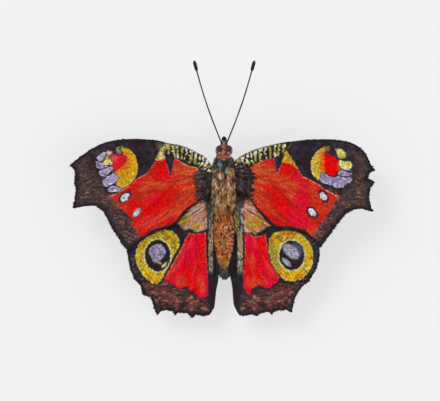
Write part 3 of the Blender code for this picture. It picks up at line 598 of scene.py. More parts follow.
def paint_underside(places, kind):
    """The dark, finely lined underside of this species, with a wavy band across each wing."""
    gap = places - np.array(HUBS[kind])
    radius = np.hypot(*gap.T)
    angle = np.arctan2(gap[:, 1], gap[:, 0])
    wave = 1.6 * noise(angle * 9, radius * 0.3, 1.0, 31) + 0.5 * noise(*places.T, 0.8, 32)
    lines = np.sin(2 * math.pi * (radius / 0.75 + wave))
    reach = UNDER_BAND_REACH[kind]
    band = np.abs(radius - reach - 1.2 * np.sin(angle * 16) - 1.5 * np.sin(angle * 3))
    dot = edge(oval_depth(places, (8.6, -12.6), (0.32, 0.32), 0), 0.2) * (kind == "hindwing")
    colours = laid(
        plain((44, 35, 32), places),
        ((24, 19, 19), edge(lines - 0.2, 0.8)),
        ((84, 68, 56), 0.55 * edge(-0.75 - lines + 0.5 * noise(*places.T, 2.0, 33), 0.3)),
        ((16, 13, 14), edge(0.35 - band, 0.3)),
        ((78, 64, 58), 0.4 * edge(radius - reach - 5.5 - wave, 2.0)),
        ((214, 204, 190), dot),
    )
    return grained(colours, noise(*places.T, 0.3, 34), 0.4)


def paint_upperside(places, kind, side):
    """The marks of a wing's upper face, with its black edge."""
    outline = OUTLINES[kind, side]
    dark_edge = edge(0.22 - area_depth(places, outline), 0.15)
    if kind == "hindwing":
        return laid(paint_hindwing(places, side), (BLACK, dark_edge))
    front_edge = edge(-area_depth(places - (0, 0.36), outline), 0.15)
    return laid(paint_forewing(places, side), (BLACK, front_edge), (BLACK, dark_edge * (places[:, 0] > 12)))


# The shape of the wings


def vein_distance(places, kind):
    return np.min([nearest_on(places, smooth_line(vein, 2.0))[0] for vein in VEINS[kind]], axis=0)


def wing_height(places, kind):
    """Height of a wing's middle surface: the arched sheet, sagging a little between its veins."""
    reach, along = places.T
    out = np.maximum(0, reach - SHEET_ROOT)
    height = SHEET_HEIGHT + SHEET_RISE * out + SHEET_CURL * out**2
    height -= FRONT_DROOP * np.maximum(0, along - FRONT_EDGE) ** 2
    height -= REAR_DROOP * np.maximum(0, REAR_EDGE - along) ** 2
    if kind == "hindwing":
        height -= WING_STEP + FOLD_DROOP * np.maximum(0, FOLD_REACH - reach) ** 2
    away = np.minimum(vein_distance(places, kind) / PLEAT_REACH, 1)
    return height - PLEAT_DEPTH * away**2 * (3 - 2 * away)


def wing_face(places, kind, face):
    """Height of the wing's upper (face 1) or lower (face -1) skin, with its veins raised."""
    ridge = VEIN_RIDGE * np.exp(-((vein_distance(places, kind) / VEIN_WIDTH) ** 2))
    return wing_height(places, kind) + face * (MEMBRANE / 2 + ridge)


def wing_outline(node):
    """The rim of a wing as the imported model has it, from its root round to its root."""
    form = bmesh.new()
    form.from_mesh(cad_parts[node].data)
    bmesh.ops.remove_doubles(form, verts=form.verts, dist=1e-6)
    under = [face for face in form.faces if face.normal.z < 0.3]
    bmesh.ops.delete(form, geom=under, context="FACES")
    following = {}
    for rim in form.edges:
        if len(rim.link_loops) == 1:
            start = rim.link_loops[0].vert
            following[start] = rim.other_vert(start)
    loops = []
    while following:
        start, vert = following.popitem()
        loop = [start]
        while vert != start:
            loop.append(vert)
            vert = following.pop(vert)
        loops.append(loop)
    places = np.array([(abs(v.co.x), v.co.y) for v in max(loops, key=len)]) / MM
    form.free()
    reach, along = places.T
    inner = reach < ROOT_REACH
    at_root = inner & (along > ROOT_REAR) & (along < ROOT_FRONT)
    beside = inner & (along <= ROOT_REAR)
    stretch = FOLD_STRETCH * np.clip((along - FOLD_END) / FOLD_FADE, 0, 1)
    places[at_root, 0] -= ROOT_STRETCH
    places[beside, 0] -= stretch[beside]
    return places


OUTLINES = {
    (kind, side): wing_outline(f"{kind}_{side}") for kind in ("forewing", "hindwing") for side in SIDES
}


# Making meshes


def linear(colours):
    share = np.clip(np.asarray(colours, float) / 255, 0, 1)
    return np.where(share < 0.04045, share / 12.92, ((share + 0.055) / 1.055) ** 2.4)


def placed(name, form, material, slot, *nodes, smooth=True):
    """Makes a piece of a form: its corners, triangles, corner colours and places in the OFBake map.

    Every piece rides on the one body and takes its material's finish; the slot is not used. Some replace
    nodes.
    """
    corners, triangles = np.asarray(form["corners"]), np.asarray(form["triangles"], np.int32)
    mesh = bpy.data.meshes.new(name)
    mesh.vertices.add(len(corners))
    mesh.vertices.foreach_set("co", (corners * MM).astype(np.float32).ravel())
    mesh.loops.add(triangles.size)
    mesh.loops.foreach_set("vertex_index", triangles.ravel())
    mesh.polygons.add(len(triangles))
    mesh.polygons.foreach_set("loop_start", np.arange(0, triangles.size, 3, dtype=np.int32))
    mesh.polygons.foreach_set("use_smooth", np.full(len(triangles), smooth))
    mesh.update(calc_edges=True)
    layer = mesh.color_attributes.new("Colour", "FLOAT_COLOR", "POINT")
    values = np.column_stack([linear(form["colours"]), np.ones(len(corners))])
    layer.data.foreach_set("color", values.astype(np.float32).ravel())
    if "patches" in form:
        unwrap = mesh.uv_layers.new(name="OFBake")
        unwrap.data.foreach_set("uv", form["patches"][triangles.ravel()].astype(np.float32).ravel())
    mesh.materials.append(MATERIALS[material])
    piece = bpy.data.objects.new(name, mesh)
    bpy.context.scene.collection.objects.link(piece)
    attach(piece, "root")
    if nodes:
        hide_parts(*nodes)


def unit(vectors):
    return vectors / np.linalg.norm(vectors, axis=1, keepdims=True)


PATCH = 0.003  # how wide one scale's or tuft's patch is in the OFBake map
SCALE_FORM = np.array([  # across, along and up, as shares of a scale's width, length and lift
    (0.0, 0.0, -0.8), (-0.5, 0.45, 0.0), (-0.38, 0.98, 0.9),
    (0.38, 0.98, 0.9), (0.5, 0.45, 0.0), (0.0, 0.62, 1.3),
])
SCALE_TRIANGLES = np.array([
    (1, 0, 5), (2, 1, 5), (3, 2, 5), (4, 3, 5), (0, 4, 5), (0, 1, 2), (0, 2, 3), (0, 3, 4),
])


def scales(roots, ways, ups, lengths, widths, lift, colours, spots):
    """Closed, slightly tented plates. Each lies along its way, over the next one out."""
    across = unit(np.cross(ways, ups))
    ups = np.cross(across, ways)
    form = SCALE_FORM[None]
    corners = (
        roots[:, None]
        + across[:, None] * form[..., :1] * widths[:, None, None]
        + ways[:, None] * form[..., 1:2] * lengths[:, None, None]
        + ups[:, None] * form[..., 2:] * lift
    )
    return joined(corners, SCALE_TRIANGLES, colours, spots[:, None] + (form[..., :2] - (0, 0.5)) * PATCH)


LOCK_RINGS = ((0.0, 0.85), (0.5, 1.0))  # place along a lock and share of its width there
LOCK_TRIANGLES = np.array(
    [(0, 2, 1)]
    + [t for i in range(3) for t in ((i, (i + 1) % 3, 3 + i), (3 + i, (i + 1) % 3, 3 + (i + 1) % 3))]
    + [(3 + i, 3 + (i + 1) % 3, 6) for i in range(3)]
)


def locks(roots, ways, bends, lengths, widths, colours, spots):
    """Closed, three-sided, tapering tufts that leave along their way and bend off."""
    side = unit(np.cross(ways, bends + 1e-4))
    other = np.cross(side, ways)
    turns = [2 * math.pi * i / 3 for i in range(3)]
    corners = []
    patches = []
    for share, width in LOCK_RINGS:
        middle = roots + (ways * share + bends * share**2) * lengths[:, None]
        for turn in turns:
            out = side * math.cos(turn) + other * math.sin(turn)
            corners.append(middle + out * (width * widths / 2)[:, None])
            patches.append(spots + PATCH * np.array((math.cos(turn) / 2, share - 0.5)))
    corners.append(roots + (ways + bends) * lengths[:, None])
    patches.append(spots + PATCH * np.array((0, 0.5)))
    return joined(np.stack(corners, axis=1), LOCK_TRIANGLES, colours, np.stack(patches, axis=1))


def joined(corners, triangles, colours, patches):
    """Flattens arrays of many like forms into those of one mesh."""
    count, size = corners.shape[:2]
    starts = np.arange(count)[:, None, None] * size
    return {
        "corners": corners.reshape(-1, 3),
        "triangles": (triangles[None] + starts).reshape(-1, 3),
        "colours": np.repeat(colours, size, axis=0),
        "patches": patches.reshape(-1, 2),
    }


def together(parts):
    """Joins forms into one."""
    whole = {key: np.vstack([part[key] for part in parts]) for key in ("corners", "colours", "patches")}
    starts = np.cumsum([0] + [len(part["corners"]) for part in parts])
    whole["triangles"] = np.vstack([part["triangles"] + start for part, start in zip(parts, starts)])
    return whole


def ring_triangles(count, sides):
    """The triangles of a closed tube of rings, whose two end points come after its rings."""
    triangles = []
    for start in range(0, (count - 1) * sides, sides):
        for j in range(sides):
            a, b = start + j, start + (j + 1) % sides
            triangles += [(a, b, a + sides), (b, b + sides, a + sides)]
    first, last = count * sides, count * sides + 1
    for j in range(sides):
        following = (j + 1) % sides
        triangles += [(first, following, j), (last, first - sides + j, first - sides + following)]
    return np.array(triangles)


# Materials


def new_material(name, roughness, specular):
    material = bpy.data.materials.new(name)
    material.use_nodes = True
    shader = material.node_tree.nodes["Principled BSDF"]
    shader.inputs["Roughness"].default_value = roughness
    shader.inputs["Specular IOR Level"].default_value = specular
    return material, shader


def painted_material(name, roughness, specular, grain):
    """Takes its colour from the painted corners, with a fine grain in its shade and in its height."""
    material, shader = new_material(name, roughness, specular)
    nodes, link = material.node_tree.nodes, material.node_tree.links.new
    paint = nodes.new("ShaderNodeAttribute")
    paint.attribute_name = "Colour"
    mapping = nodes.new("ShaderNodeMapping")
    mapping.inputs["Scale"].default_value = (1 / (grain * MM),) * 3
    pattern = nodes.new("ShaderNodeTexNoise")
    pattern.inputs["Scale"].default_value = 1.0
    pattern.inputs["Detail"].default_value = 3.0
    shade = nodes.new("ShaderNodeMapRange")
    shade.inputs["To Min"].default_value = 0.8
    shade.inputs["To Max"].default_value = 1.2
    tint = nodes.new("ShaderNodeVectorMath")
    tint.operation = "SCALE"
    bump = nodes.new("ShaderNodeBump")
    bump.inputs["Strength"].default_value = 0.4
    bump.inputs["Distance"].default_value = grain / 4 * MM
    link(nodes.new("ShaderNodeTexCoord").outputs["Object"], mapping.inputs["Vector"])
    link(mapping.outputs["Vector"], pattern.inputs["Vector"])
    link(pattern.outputs["Fac"], shade.inputs["Value"])
    link(paint.outputs["Color"], tint.inputs[0])
    link(shade.outputs["Result"], tint.inputs["Scale"])
    link(tint.outputs["Vector"], shader.inputs["Base Color"])
    link(pattern.outputs["Fac"], bump.inputs["Height"])
    link(bump.outputs["Normal"], shader.inputs["Normal"])
    return material


MATERIALS = {
    name: painted_material(name, *look)
    for name, look in {  # roughness, specular and the size of the grain
        "wing_skin": (0.7, 0.06, 0.12),
        "wing_scales": (0.65, 0.06, 0.12),
        "body_skin": (0.8, 0.12, 0.15),
        "hair": (0.65, 0.12, 0.2),
        "eye": (0.3, 0.3, 0.07),
        "shell": (0.5, 0.25, 0.1),
    }.items()
}


# Wings


def wing_skin(kind, side):
    """The thin closed membrane of one wing, with the same marks as its scales."""
    outline = OUTLINES[kind, side]
    low, high = outline.min(axis=0), outline.max(axis=0)
    rows = np.arange(low[1], high[1], WING_GRID * math.sqrt(3) / 2)
    columns = np.arange(low[0], high[0], WING_GRID)
    grid = np.array([(x + (i % 2) * WING_GRID / 2, y) for i, y in enumerate(rows) for x in columns])
    grid = grid[area_depth(grid, outline) > WING_GRID * 0.4]
    flat = [Vector(p) for p in np.vstack([outline, grid])]
    found, _, faces, *_ = geometry.delaunay_2d_cdt(flat, [], [list(range(len(outline)))], 1, 1e-4)
    places = np.array([tuple(p) for p in found])
    faces = np.array([tuple(face) for face in faces])
    count = len(places)
    upper, lower = (
        np.column_stack([SIDES[side] * places[:, 0], places[:, 1], wing_face(places, kind, face)])
        for face in (1, -1)
    )
    edges = dict.fromkeys(map(tuple, np.vstack([faces[:, (0, 1)], faces[:, (1, 2)], faces[:, (2, 0)]])))
    start, end = np.array([(a, b) for a, b in edges if (b, a) not in edges]).T
    wall = np.vstack([
        np.column_stack([start, start + count, end]),
        np.column_stack([end, start + count, end + count]),
    ])
    skin = {
        "corners": np.vstack([upper, lower]),
        "triangles": np.vstack([faces, faces[:, ::-1] + count, wall])[:, ::SIDES[side]],
        "colours": np.vstack([paint_upperside(places, kind, side), paint_underside(places, kind)]),
    }
    placed(f"{kind}_{side}_skin", skin, "wing_skin", f"{kind}_scales", f"{kind}_{side}")


def scale_rows(kind, outline, row_step, pitch, rng):
    """Places and ways of scales in rows on arcs round the wing's hub."""
    hub = np.array(HUBS[kind])
    furthest = np.hypot(*(outline - hub).T).max()
    rows = []
    for i, radius in enumerate(np.arange(1.5, furthest, row_step)):
        count = int(math.pi * radius / pitch)
        angles = (np.arange(count) + i % 2 / 2 + rng.normal(0, 0.12, count)) * math.pi / count - math.pi / 2
        if kind == "hindwing":
            angles -= math.radians(35)
        spread = radius + rng.normal(0, 0.12 * row_step, count)
        rows.append(hub + spread[:, None] * np.column_stack([np.cos(angles), np.sin(angles)]))
    places = np.vstack(rows)
    places = places[area_depth(places, outline) > 0.05]
    return places, unit(places - hub)


def on_wing(places, ways, kind, side, face):
    """Lifts places and ways from the plan onto the wing's face, with the face's direction up."""
    sign = SIDES[side]
    height = wing_face(places, kind, face)
    slope_reach, slope_along = (
        (wing_face(places + SLOPE_STEP * np.array(way), kind, face) - height) / SLOPE_STEP
        for way in ((1, 0), (0, 1))
    )
    ups = unit(np.column_stack([-slope_reach * sign, -slope_along, np.ones(len(places))])) * face
    climb = ways[:, 0] * slope_reach + ways[:, 1] * slope_along
    lifted = unit(np.column_stack([sign * ways[:, 0], ways[:, 1], climb]))
    return np.column_stack([sign * places[:, 0], places[:, 1], height]), lifted, ups


def plan_patches(places, outline):
    """Where places fall in the OFBake map of a wing face, laid out flat."""
    low = outline.min(axis=0) - 1
    size = (outline.max(axis=0) + 1 - low).max()
    return (places - low) / size


SLOPE_STEP = 0.05  # over which a face's slope is measured
UPPER_SCALES = (0.17, 0.20, 0.36, 0.225)  # row step, pitch, length and width
LOWER_SCALES = (0.23, 0.27, 0.48, 0.30)
SCALE_LIFT = 0.035
FRINGE_PITCH, FRINGE_LENGTH, FRINGE_WIDTH = 0.07, 0.27, 0.10
COVERED = 2.5  # a hind wing has no scales further than this under the fore wing


def wing_coat(kind, side, face):
    """The overlapping scales of one face of a wing."""
    rng = np.random.default_rng([41, face + 1, SIDES[side] + 1, len(kind) % 2])
    outline = OUTLINES[kind, side]
    row_step, pitch, length, width = UPPER_SCALES if face > 0 else LOWER_SCALES
    places, ways = scale_rows(kind, outline, row_step, pitch, rng)
    if kind == "hindwing" and face > 0:
        shown = area_depth(places, OUTLINES["forewing", side]) < COVERED
        places, ways = places[shown], ways[shown]
    count = len(places)
    seen = places + ways * (length - row_step / 2)
    colours = paint_upperside(seen, kind, side) if face > 0 else paint_underside(seen, kind)
    colours = colours * rng.normal(1.0, 0.09, (count, 1))
    turn = rng.normal(0, 0.13, count)
    across = np.column_stack([-ways[:, 1], ways[:, 0]])
    ways = ways * np.cos(turn)[:, None] + across * np.sin(turn)[:, None]
    roots, lifted, ups = on_wing(places, ways, kind, side, face)
    lengths = length * rng.normal(1, 0.1, count)
    widths = width * rng.normal(1, 0.1, count)
    form = scales(roots, lifted, ups, lengths, widths, SCALE_LIFT, colours, plan_patches(places, outline))
    name = f"{kind}_{side}_{'upper' if face > 0 else 'lower'}_scales"
    placed(name, form, "wing_scales", f"{kind}_scales", smooth=False)


def below_forewing(roots, reaches, side):
    """The share of each hair on a hind wing that ends just inside the fore wing's lower face."""
    tips = roots + reaches
    plan = np.column_stack([SIDES[side] * tips[:, 0], tips[:, 1]])
    headroom = wing_face(plan, "forewing", -1) + HAIR_TUCK - roots[:, 2]
    share = np.clip(headroom / np.maximum(reaches[:, 2], 1e-6), 0.1, 1)
    return np.where(area_depth(plan, OUTLINES["forewing", side]) > -0.3, share, 1)


def wing_hair(name, kind, side, area, spacing, length, width, lift, lie=None, tints=None, seam=None):
    """Loose hairs over an area of a wing's upper face, lying outwards from its hub or along a given way.

    They take the wing's own colours, or each one of the tints, the first of them most often. A seam
    keeps only those that root at depths between its two values under the fore wing.
    """
    rng = np.random.default_rng([45, len(name), SIDES[side] + 1])
    area = np.array(area, float)
    low, high = area.min(axis=0), area.max(axis=0)
    places = rng.uniform(low, high, (int(np.prod(high - low) / spacing**2), 2))
    outline = OUTLINES[kind, side]
    places = places[(area_depth(places, area) > 0) & (area_depth(places, outline) > 0.1)]
    if seam:
        under = area_depth(places, OUTLINES["forewing", side])
        places = places[(under > seam[0]) & (under < seam[1])]
    count = len(places)
    ways = unit(places - HUBS[kind]) if lie is None else unit(plain(lie, places))
    ways = unit(ways + rng.normal(0, 0.16, (count, 2)))
    roots, lifted, ups = on_wing(places, ways, kind, side, 1)
    lengths = length * rng.uniform(0.6, 1.3, count)
    colours = paint_upperside(places + ways * lengths[:, None] * 0.4, kind, side)
    if tints:
        rare = rng.random(count) < RARE_TINTS
        colours = np.array(tints, float)[np.where(rare, rng.integers(1, len(tints), count), 0)]
    colours = colours * rng.normal(1.0, 0.16, (count, 1))
    lifted = unit(lifted + ups * (lift * rng.uniform(0.5, 1.5, count))[:, None])
    bends = -0.4 * min(lift, 0.5) * ups + rng.normal(0, 0.05, (count, 3))
    if kind == "hindwing":
        lengths = lengths * below_forewing(roots, (lifted + bends) * lengths[:, None], side)
    widths = width * rng.uniform(0.7, 1.3, count)
    form = locks(roots, lifted, bends, lengths, widths, colours, plan_patches(places, outline))
    placed(f"{kind}_{side}_{name}", form, "hair", "body_hair")


def wing_fringe(kind, side):
    """A short fringe of dark scales all along the free edge."""
    rng = np.random.default_rng([46, len(kind), SIDES[side] + 1])
    outline = OUTLINES[kind, side]
    closed = np.vstack([outline, outline[:1]])
    travelled = distance_along(closed)
    share = np.arange(0, travelled[-1], FRINGE_PITCH)
    share = share + rng.uniform(-0.02, 0.02, len(share))
    places, after = at_distances(closed, travelled, share), at_distances(closed, travelled, share + 0.3)
    ways = unit(after - places + 1e-9)
    ways = np.column_stack([ways[:, 1], -ways[:, 0]])
    wrong = area_depth(places + ways * 0.1, outline) > 0
    ways[wrong] *= -1
    free = places[:, 0] > (ROOT_REACH if kind == "forewing" else 1.0)
    places, ways = places[free], ways[free]
    count = len(places)
    ways = unit(ways + 0.5 * unit(places - HUBS[kind]) + rng.normal(0, 0.12, (count, 2)))
    roots, lifted, ups = on_wing(places, ways, kind, side, 1)
    roots = roots - ups * MEMBRANE / 2 - lifted * 0.05
    colours = np.array(FRINGE_COLOUR, float) * rng.normal(1.0, 0.2, (count, 1))
    lengths = FRINGE_LENGTH * rng.uniform(0.6, 1.2, count)
    widths = np.full(count, FRINGE_WIDTH)
    form = locks(roots, lifted, 0.05 * ups, lengths, widths, colours, plan_patches(places, outline))
    placed(f"{kind}_{side}_fringe", form, "wing_scales", f"{kind}_scales")


RARE_TINTS = 0.40  # the share of hairs that take any tint but the first
HAIR_TUCK = 0.04  # how far the seam's hairs reach into the fore wing
BASE_TINTS = ((41, 33, 38), (108, 46, 42), (162, 116, 104), (84, 90, 82), (76, 60, 72), (150, 142, 146))
TUFT_TINTS = ((58, 52, 56), (150, 146, 146), (96, 88, 80))
FOLD_TINTS = ((52, 44, 46), (90, 70, 60))
BASE_AREA = {
    "left": [(1.9, 3.0), (3.2, 3.8), (4.9, 3.3), (5.0, 1.6), (4.7, -1.8), (3.0, -0.9), (1.9, 0.2)],
    "right": [(1.9, 4.3), (3.4, 5.0), (4.9, 3.8), (5.0, 1.6), (4.7, -1.8), (3.0, -0.9), (1.9, 0.2)],
}
HIND_BASE_AREA = [(1.5, -1.0), (3.8, -1.0), (3.3, -3.0), (2.9, -6.0), (1.5, -6.0)]
HIND_FOLD_AREA = [(2.4, 0.0), (8.0, -0.6), (14.6, -3.4), (14.6, -9.0), (9.0, -9.0), (4.0, -3.0), (2.4, -2.0)]
SEAM = (0.35, 1.6)  # the seam's hairs root this deep under the fore wing
HIND_ROOT_AREA = [(1.4, -0.2), (4.8, -0.4), (5.2, -1.7), (3.4, -2.4), (1.4, -2.2)]


def make_wings():
    for kind in HUBS:
        for side in SIDES:
            wing_skin(kind, side)
            wing_coat(kind, side, 1)
            wing_coat(kind, side, -1)
            wing_fringe(kind, side)
    for side in SIDES:
        marks = MARKS["hindwing", side]
        strip_edge = max(high for _, _, high, _, _ in marks["strips"]) + 0.1
        strip = [(1.4, -4.5), (strip_edge, -4.5), (strip_edge, -18.0), (1.4, -18.0)]
        wing_hair("base_hair", "forewing", side, BASE_AREA[side], 0.115, 1.25, 0.085, 0.22, tints=BASE_TINTS)
        for name, area, *sizes, options in [  # spacing, length, width and lift
            ("base_tuft", HIND_BASE_AREA, 0.14, 0.9, 0.085, 0.22, {"tints": TUFT_TINTS}),
            ("fold_hair", HIND_FOLD_AREA, 0.11, 2.4, 0.13, 2.4, {"tints": FOLD_TINTS, "seam": SEAM}),
            ("root_hair", HIND_ROOT_AREA, 0.11, 1.6, 0.10, 1.6, {"tints": FOLD_TINTS}),
            ("patch_hair", marks["patch"], 0.13, 0.8, 0.09, 0.25, {}),
            ("strip_hair", strip, 0.16, 0.9, 0.08, 0.25, {"lie": (0.1, -1.0)}),
        ]:
            wing_hair(name, "hindwing", side, area, *sizes, **options)


# Body

BODY_ENDS = (-18.68, 9.58)
RING_STEP = 0.12
RING_SIDES = 56
RAY_START = 9.0
ABOVE_BODY, BELOW_BODY = 12.0, 3.0
LEAST_RADIUS = 0.15
SEGMENT_ROWS = 13  # rings that span one segment of the abdomen
SEGMENT_SOFTNESS = 0.6  # the coat fills this share of the grooves
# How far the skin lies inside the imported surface, by the place along the body
COAT_DEPTH = [(-18.68, 0.04), (-17.6, 0.14), (-6.2, 0.16), (-5.2, 0.34), (4.6, 0.36), (6.3, 0.2),
              (9.58, 0.08)]
BELLY = (50, 39, 34)
BODY_LIGHTNESS = [(-18, 1.15), (-5.6, 1.15), (-4.6, 1.4), (5.8, 1.4), (6.6, 1.3), (9, 1.25)]
# How far the body's middle lies to the right, by the place along the body, as in the part's source
LEAN = [(-18.8, 0.38), (-12.0, 0.28), (-5.2, 0.12), (1.0, 0.10), (6.0, 0.20), (9.8, 0.25)]


def lean(along):
    return np.interp(along, *zip(*LEAN))


def packed_tree(*nodes):
    """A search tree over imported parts, in millimetres."""
    corners, faces = [], []
    for node in nodes:
        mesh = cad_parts[node].data
        start = len(corners)
        corners += [v.co / MM for v in mesh.vertices]
        faces += [[start + i for i in face.vertices] for face in mesh.polygons]
    return bvhtree.BVHTree.FromPolygons(corners, faces)


def hit_distance(tree, origin, way):
    _, _, _, distance = tree.ray_cast(Vector(origin), Vector(way), RAY_START)
    return np.nan if distance is None else distance


def filled(stations, values):
    """Fills the places that no ray found from their neighbours along the body."""
    known = ~np.isnan(values)
    return np.interp(stations, stations[known], values[known])


def evened(radii):
    """The same radii without the grooves between the segments."""
    reach = SEGMENT_ROWS // 2
    padded = np.pad(radii, ((reach, reach), (0, 0)), mode="edge")
    return sum(padded[i:i + len(radii)] for i in range(SEGMENT_ROWS)) / SEGMENT_ROWS


def measure_body():
    """The body's middle line and its radius all round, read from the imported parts."""
    tree = packed_tree("abdomen", "thorax", "head")
    stations = np.arange(*BODY_ENDS, RING_STEP)
    above = np.array([hit_distance(tree, (lean(y), y, ABOVE_BODY), (0, 0, -1)) for y in stations])
    below = np.array([hit_distance(tree, (lean(y), y, BELOW_BODY), (0, 0, 1)) for y in stations])
    middles = filled(stations, (ABOVE_BODY - above + BELOW_BODY + below) / 2)
    radii = []
    for side in range(RING_SIDES):
        angle = 2 * math.pi * side / RING_SIDES
        way = np.array((math.sin(angle), 0, math.cos(angle)))
        starts = np.column_stack([lean(stations), stations, middles]) + RAY_START * way
        found = RAY_START - np.array([hit_distance(tree, start, -way) for start in starts])
        found[found < LEAST_RADIUS] = np.nan
        radii.append(filled(stations, found))
    radii = np.column_stack(radii)
    return stations, middles, radii + SEGMENT_SOFTNESS * (evened(radii) - radii)


BODY_STATIONS, BODY_MIDDLES, BODY_RADII = measure_body()


def body_place(along, angle, lift=0.0):
    """Places on the body's skin, by how far along it lies and its angle from the top."""
    row = np.clip((along - BODY_STATIONS[0]) / RING_STEP, 0, len(BODY_STATIONS) - 1.001)
    column = (angle / (2 * math.pi) % 1) * RING_SIDES
    i, j = row.astype(int), column.astype(int) % RING_SIDES
    fi, fj = row - i, column - column.astype(int)
    after = (j + 1) % RING_SIDES
    near = BODY_RADII[i, j] * (1 - fj) + BODY_RADII[i, after] * fj
    far = BODY_RADII[i + 1, j] * (1 - fj) + BODY_RADII[i + 1, after] * fj
    depths = np.interp(along, *zip(*COAT_DEPTH))
    radius = np.maximum(near * (1 - fi) + far * fi - depths, 0.05) + lift
    middle = np.interp(along, BODY_STATIONS, BODY_MIDDLES)
    return np.column_stack([lean(along) + radius * np.sin(angle), along, middle + radius * np.cos(angle)])


def body_directions(along, angle):
    """Outward, backward and sideways directions on the body's skin."""
    back = unit(body_place(along - 0.15, angle) - body_place(along + 0.15, angle))
    around = unit(body_place(along, angle + 0.06) - body_place(along, angle - 0.06))
    return unit(np.cross(back, around)), back, around


def paint_body(places, outward):
    """Markings of the head, thorax and abdomen: rusty and ochre above, dark below."""
    x, y, z = places.T

    def spot(colour, centre, half_sizes, softness, share=1.0):
        return colour, share * edge(oval_depth(places[:, :2], centre, half_sizes, 0), softness)

    wide = noise(x, y, 1.1, 51)
    small = noise(x, y * 0.8, 0.42, 52)
    fine = noise(x + 0.3 * z, y, 0.2, 53)
    dashes = noise(x * 1.1, y * 0.9, 0.27, 55)
    nape = edge(y - 3.8, 0.3) * edge(6.0 - y, 0.3)
    thorax = laid(
        plain((136, 96, 66), places),
        ((80, 68, 38), edge(-1.5 - x + 0.6 * (small - 0.5), 0.8)),
        spot((148, 102, 40), (0.1, -2.6), (1.3, 2.6), 1.2),
        spot((204, 124, 124), (1.9, 1.3), (0.75, 1.7), 0.4),
        spot((144, 122, 54), (1.6, 4.0), (0.9, 1.0), 0.5),
        spot((170, 106, 52), (0.1, -4.8), (1.7, 0.9), 0.8),
        ((186, 146, 116), 0.75 * edge(small - 0.66, 0.2)),
        ((66, 52, 42), 0.85 * edge(0.33 - small, 0.16)),
        ((208, 166, 136), 0.7 * edge(dashes - 0.72, 0.1)),
        ((52, 42, 34), 0.75 * edge(0.27 - dashes, 0.1)),
        ((44, 40, 42), edge(y - 4.4 + 0.8 * (small - 0.5), 0.3) * edge(6.0 - y, 0.3)),
        spot((44, 40, 42), (0.2, 4.1), (0.7, 0.8), 0.3),
        ((96, 94, 64), 0.8 * nape * edge(dashes - 0.55, 0.15) * edge(np.abs(x - 0.2) - 0.6, 0.8)),
        ((100, 104, 112), 0.8 * nape * edge(noise(x, y, 0.3, 56) - 0.7, 0.1)),
        spot((120, 142, 146), (-0.46, 4.9), (0.42, 0.24), 0.2, 0.9),
        spot((150, 170, 166), (0.71, 3.8), (0.3, 0.5), 0.3, 0.9),
    )
    tip = -16.8 + 1.05 * np.abs(x - 0.3) + 0.5 * (small - 0.5)
    rump = laid(
        plain((172, 92, 38), places),
        ((184, 112, 60), edge(wide - 0.5, 0.3)),
        ((192, 118, 94), edge(x - 0.2 + 1.2 * (wide - 0.5), 0.6) * edge(small - 0.45, 0.3)),
        ((212, 146, 112), 0.7 * edge(noise(x - 0.3 * y, y * 1.2, 0.3, 57) - 0.72, 0.1)),
        spot((150, 116, 44), (0.1, -10.6), (0.8, 1.0), 0.5),
        spot((154, 122, 48), (0.3, -15.3), (0.5, 0.9), 0.5),
        ((62, 38, 30), 0.85 * edge(0.31 - noise(x + 0.4 * y, y, 0.28, 54), 0.1)),
        ((80, 75, 76), edge(tip - y, 0.25)),
        ((52, 44, 40), edge(-1.75 - x, 0.4) * edge(-14.0 - y, 1.5)),
    )
    head = laid(
        plain((118, 66, 54), places),
        spot((196, 122, 104), (0.15, 7.5), (0.32, 1.0), 0.3),
        ((72, 52, 46), 0.8 * edge(0.4 - small, 0.15)),
        ((150, 118, 108), edge(y - 8.8, 0.4)),
    )
    under = laid(plain(BELLY, places), ((86, 68, 56), 0.6 * edge(small - 0.6, 0.2)))
    collar = edge(0.32 - np.abs(y - 6.5 - 0.1 * np.cos(3 * x)), 0.15)
    colours = laid(
        thorax,
        (rump, edge(-5.3 - y, 0.4)),
        (head, edge(y - 6.0, 0.2)),
        ((206, 108, 80), collar * edge(x + 1.3, 0.4)),
        spot((214, 150, 136), (0.05, 5.85), (0.5, 0.14), 0.1, 0.9),
        (under, edge(0.02 - outward[:, 2] + 0.3 * (small - 0.5), 0.3)),
    )
    lightness = np.interp(y, *zip(*BODY_LIGHTNESS))
    return grained(colours * lightness[:, None], fine, 0.4)


def body_patches(along, angle):
    """Where places fall in the OFBake map of the body, unrolled."""
    low, high = BODY_ENDS
    return np.column_stack([angle / (2 * math.pi) % 1, (along - low) / (high - low)])


def body_skin():
    along = np.repeat(BODY_STATIONS, RING_SIDES)
    around = np.tile(2 * math.pi * np.arange(RING_SIDES) / RING_SIDES, len(BODY_STATIONS))
    corners = body_place(along, around)
    colours = paint_body(corners, body_directions(along, around)[0])
    ends = [(lean(BODY_STATIONS[row]), BODY_STATIONS[row], BODY_MIDDLES[row]) for row in (0, -1)]
    skin = {
        "corners": np.vstack([corners, ends]),
        "triangles": ring_triangles(len(BODY_STATIONS), RING_SIDES)[:, ::-1],
        "colours": np.vstack([colours, colours[:1], colours[-1:]]),
    }
    placed("body_skin", skin, "body_skin", "body_hair", "head", "thorax", "abdomen")


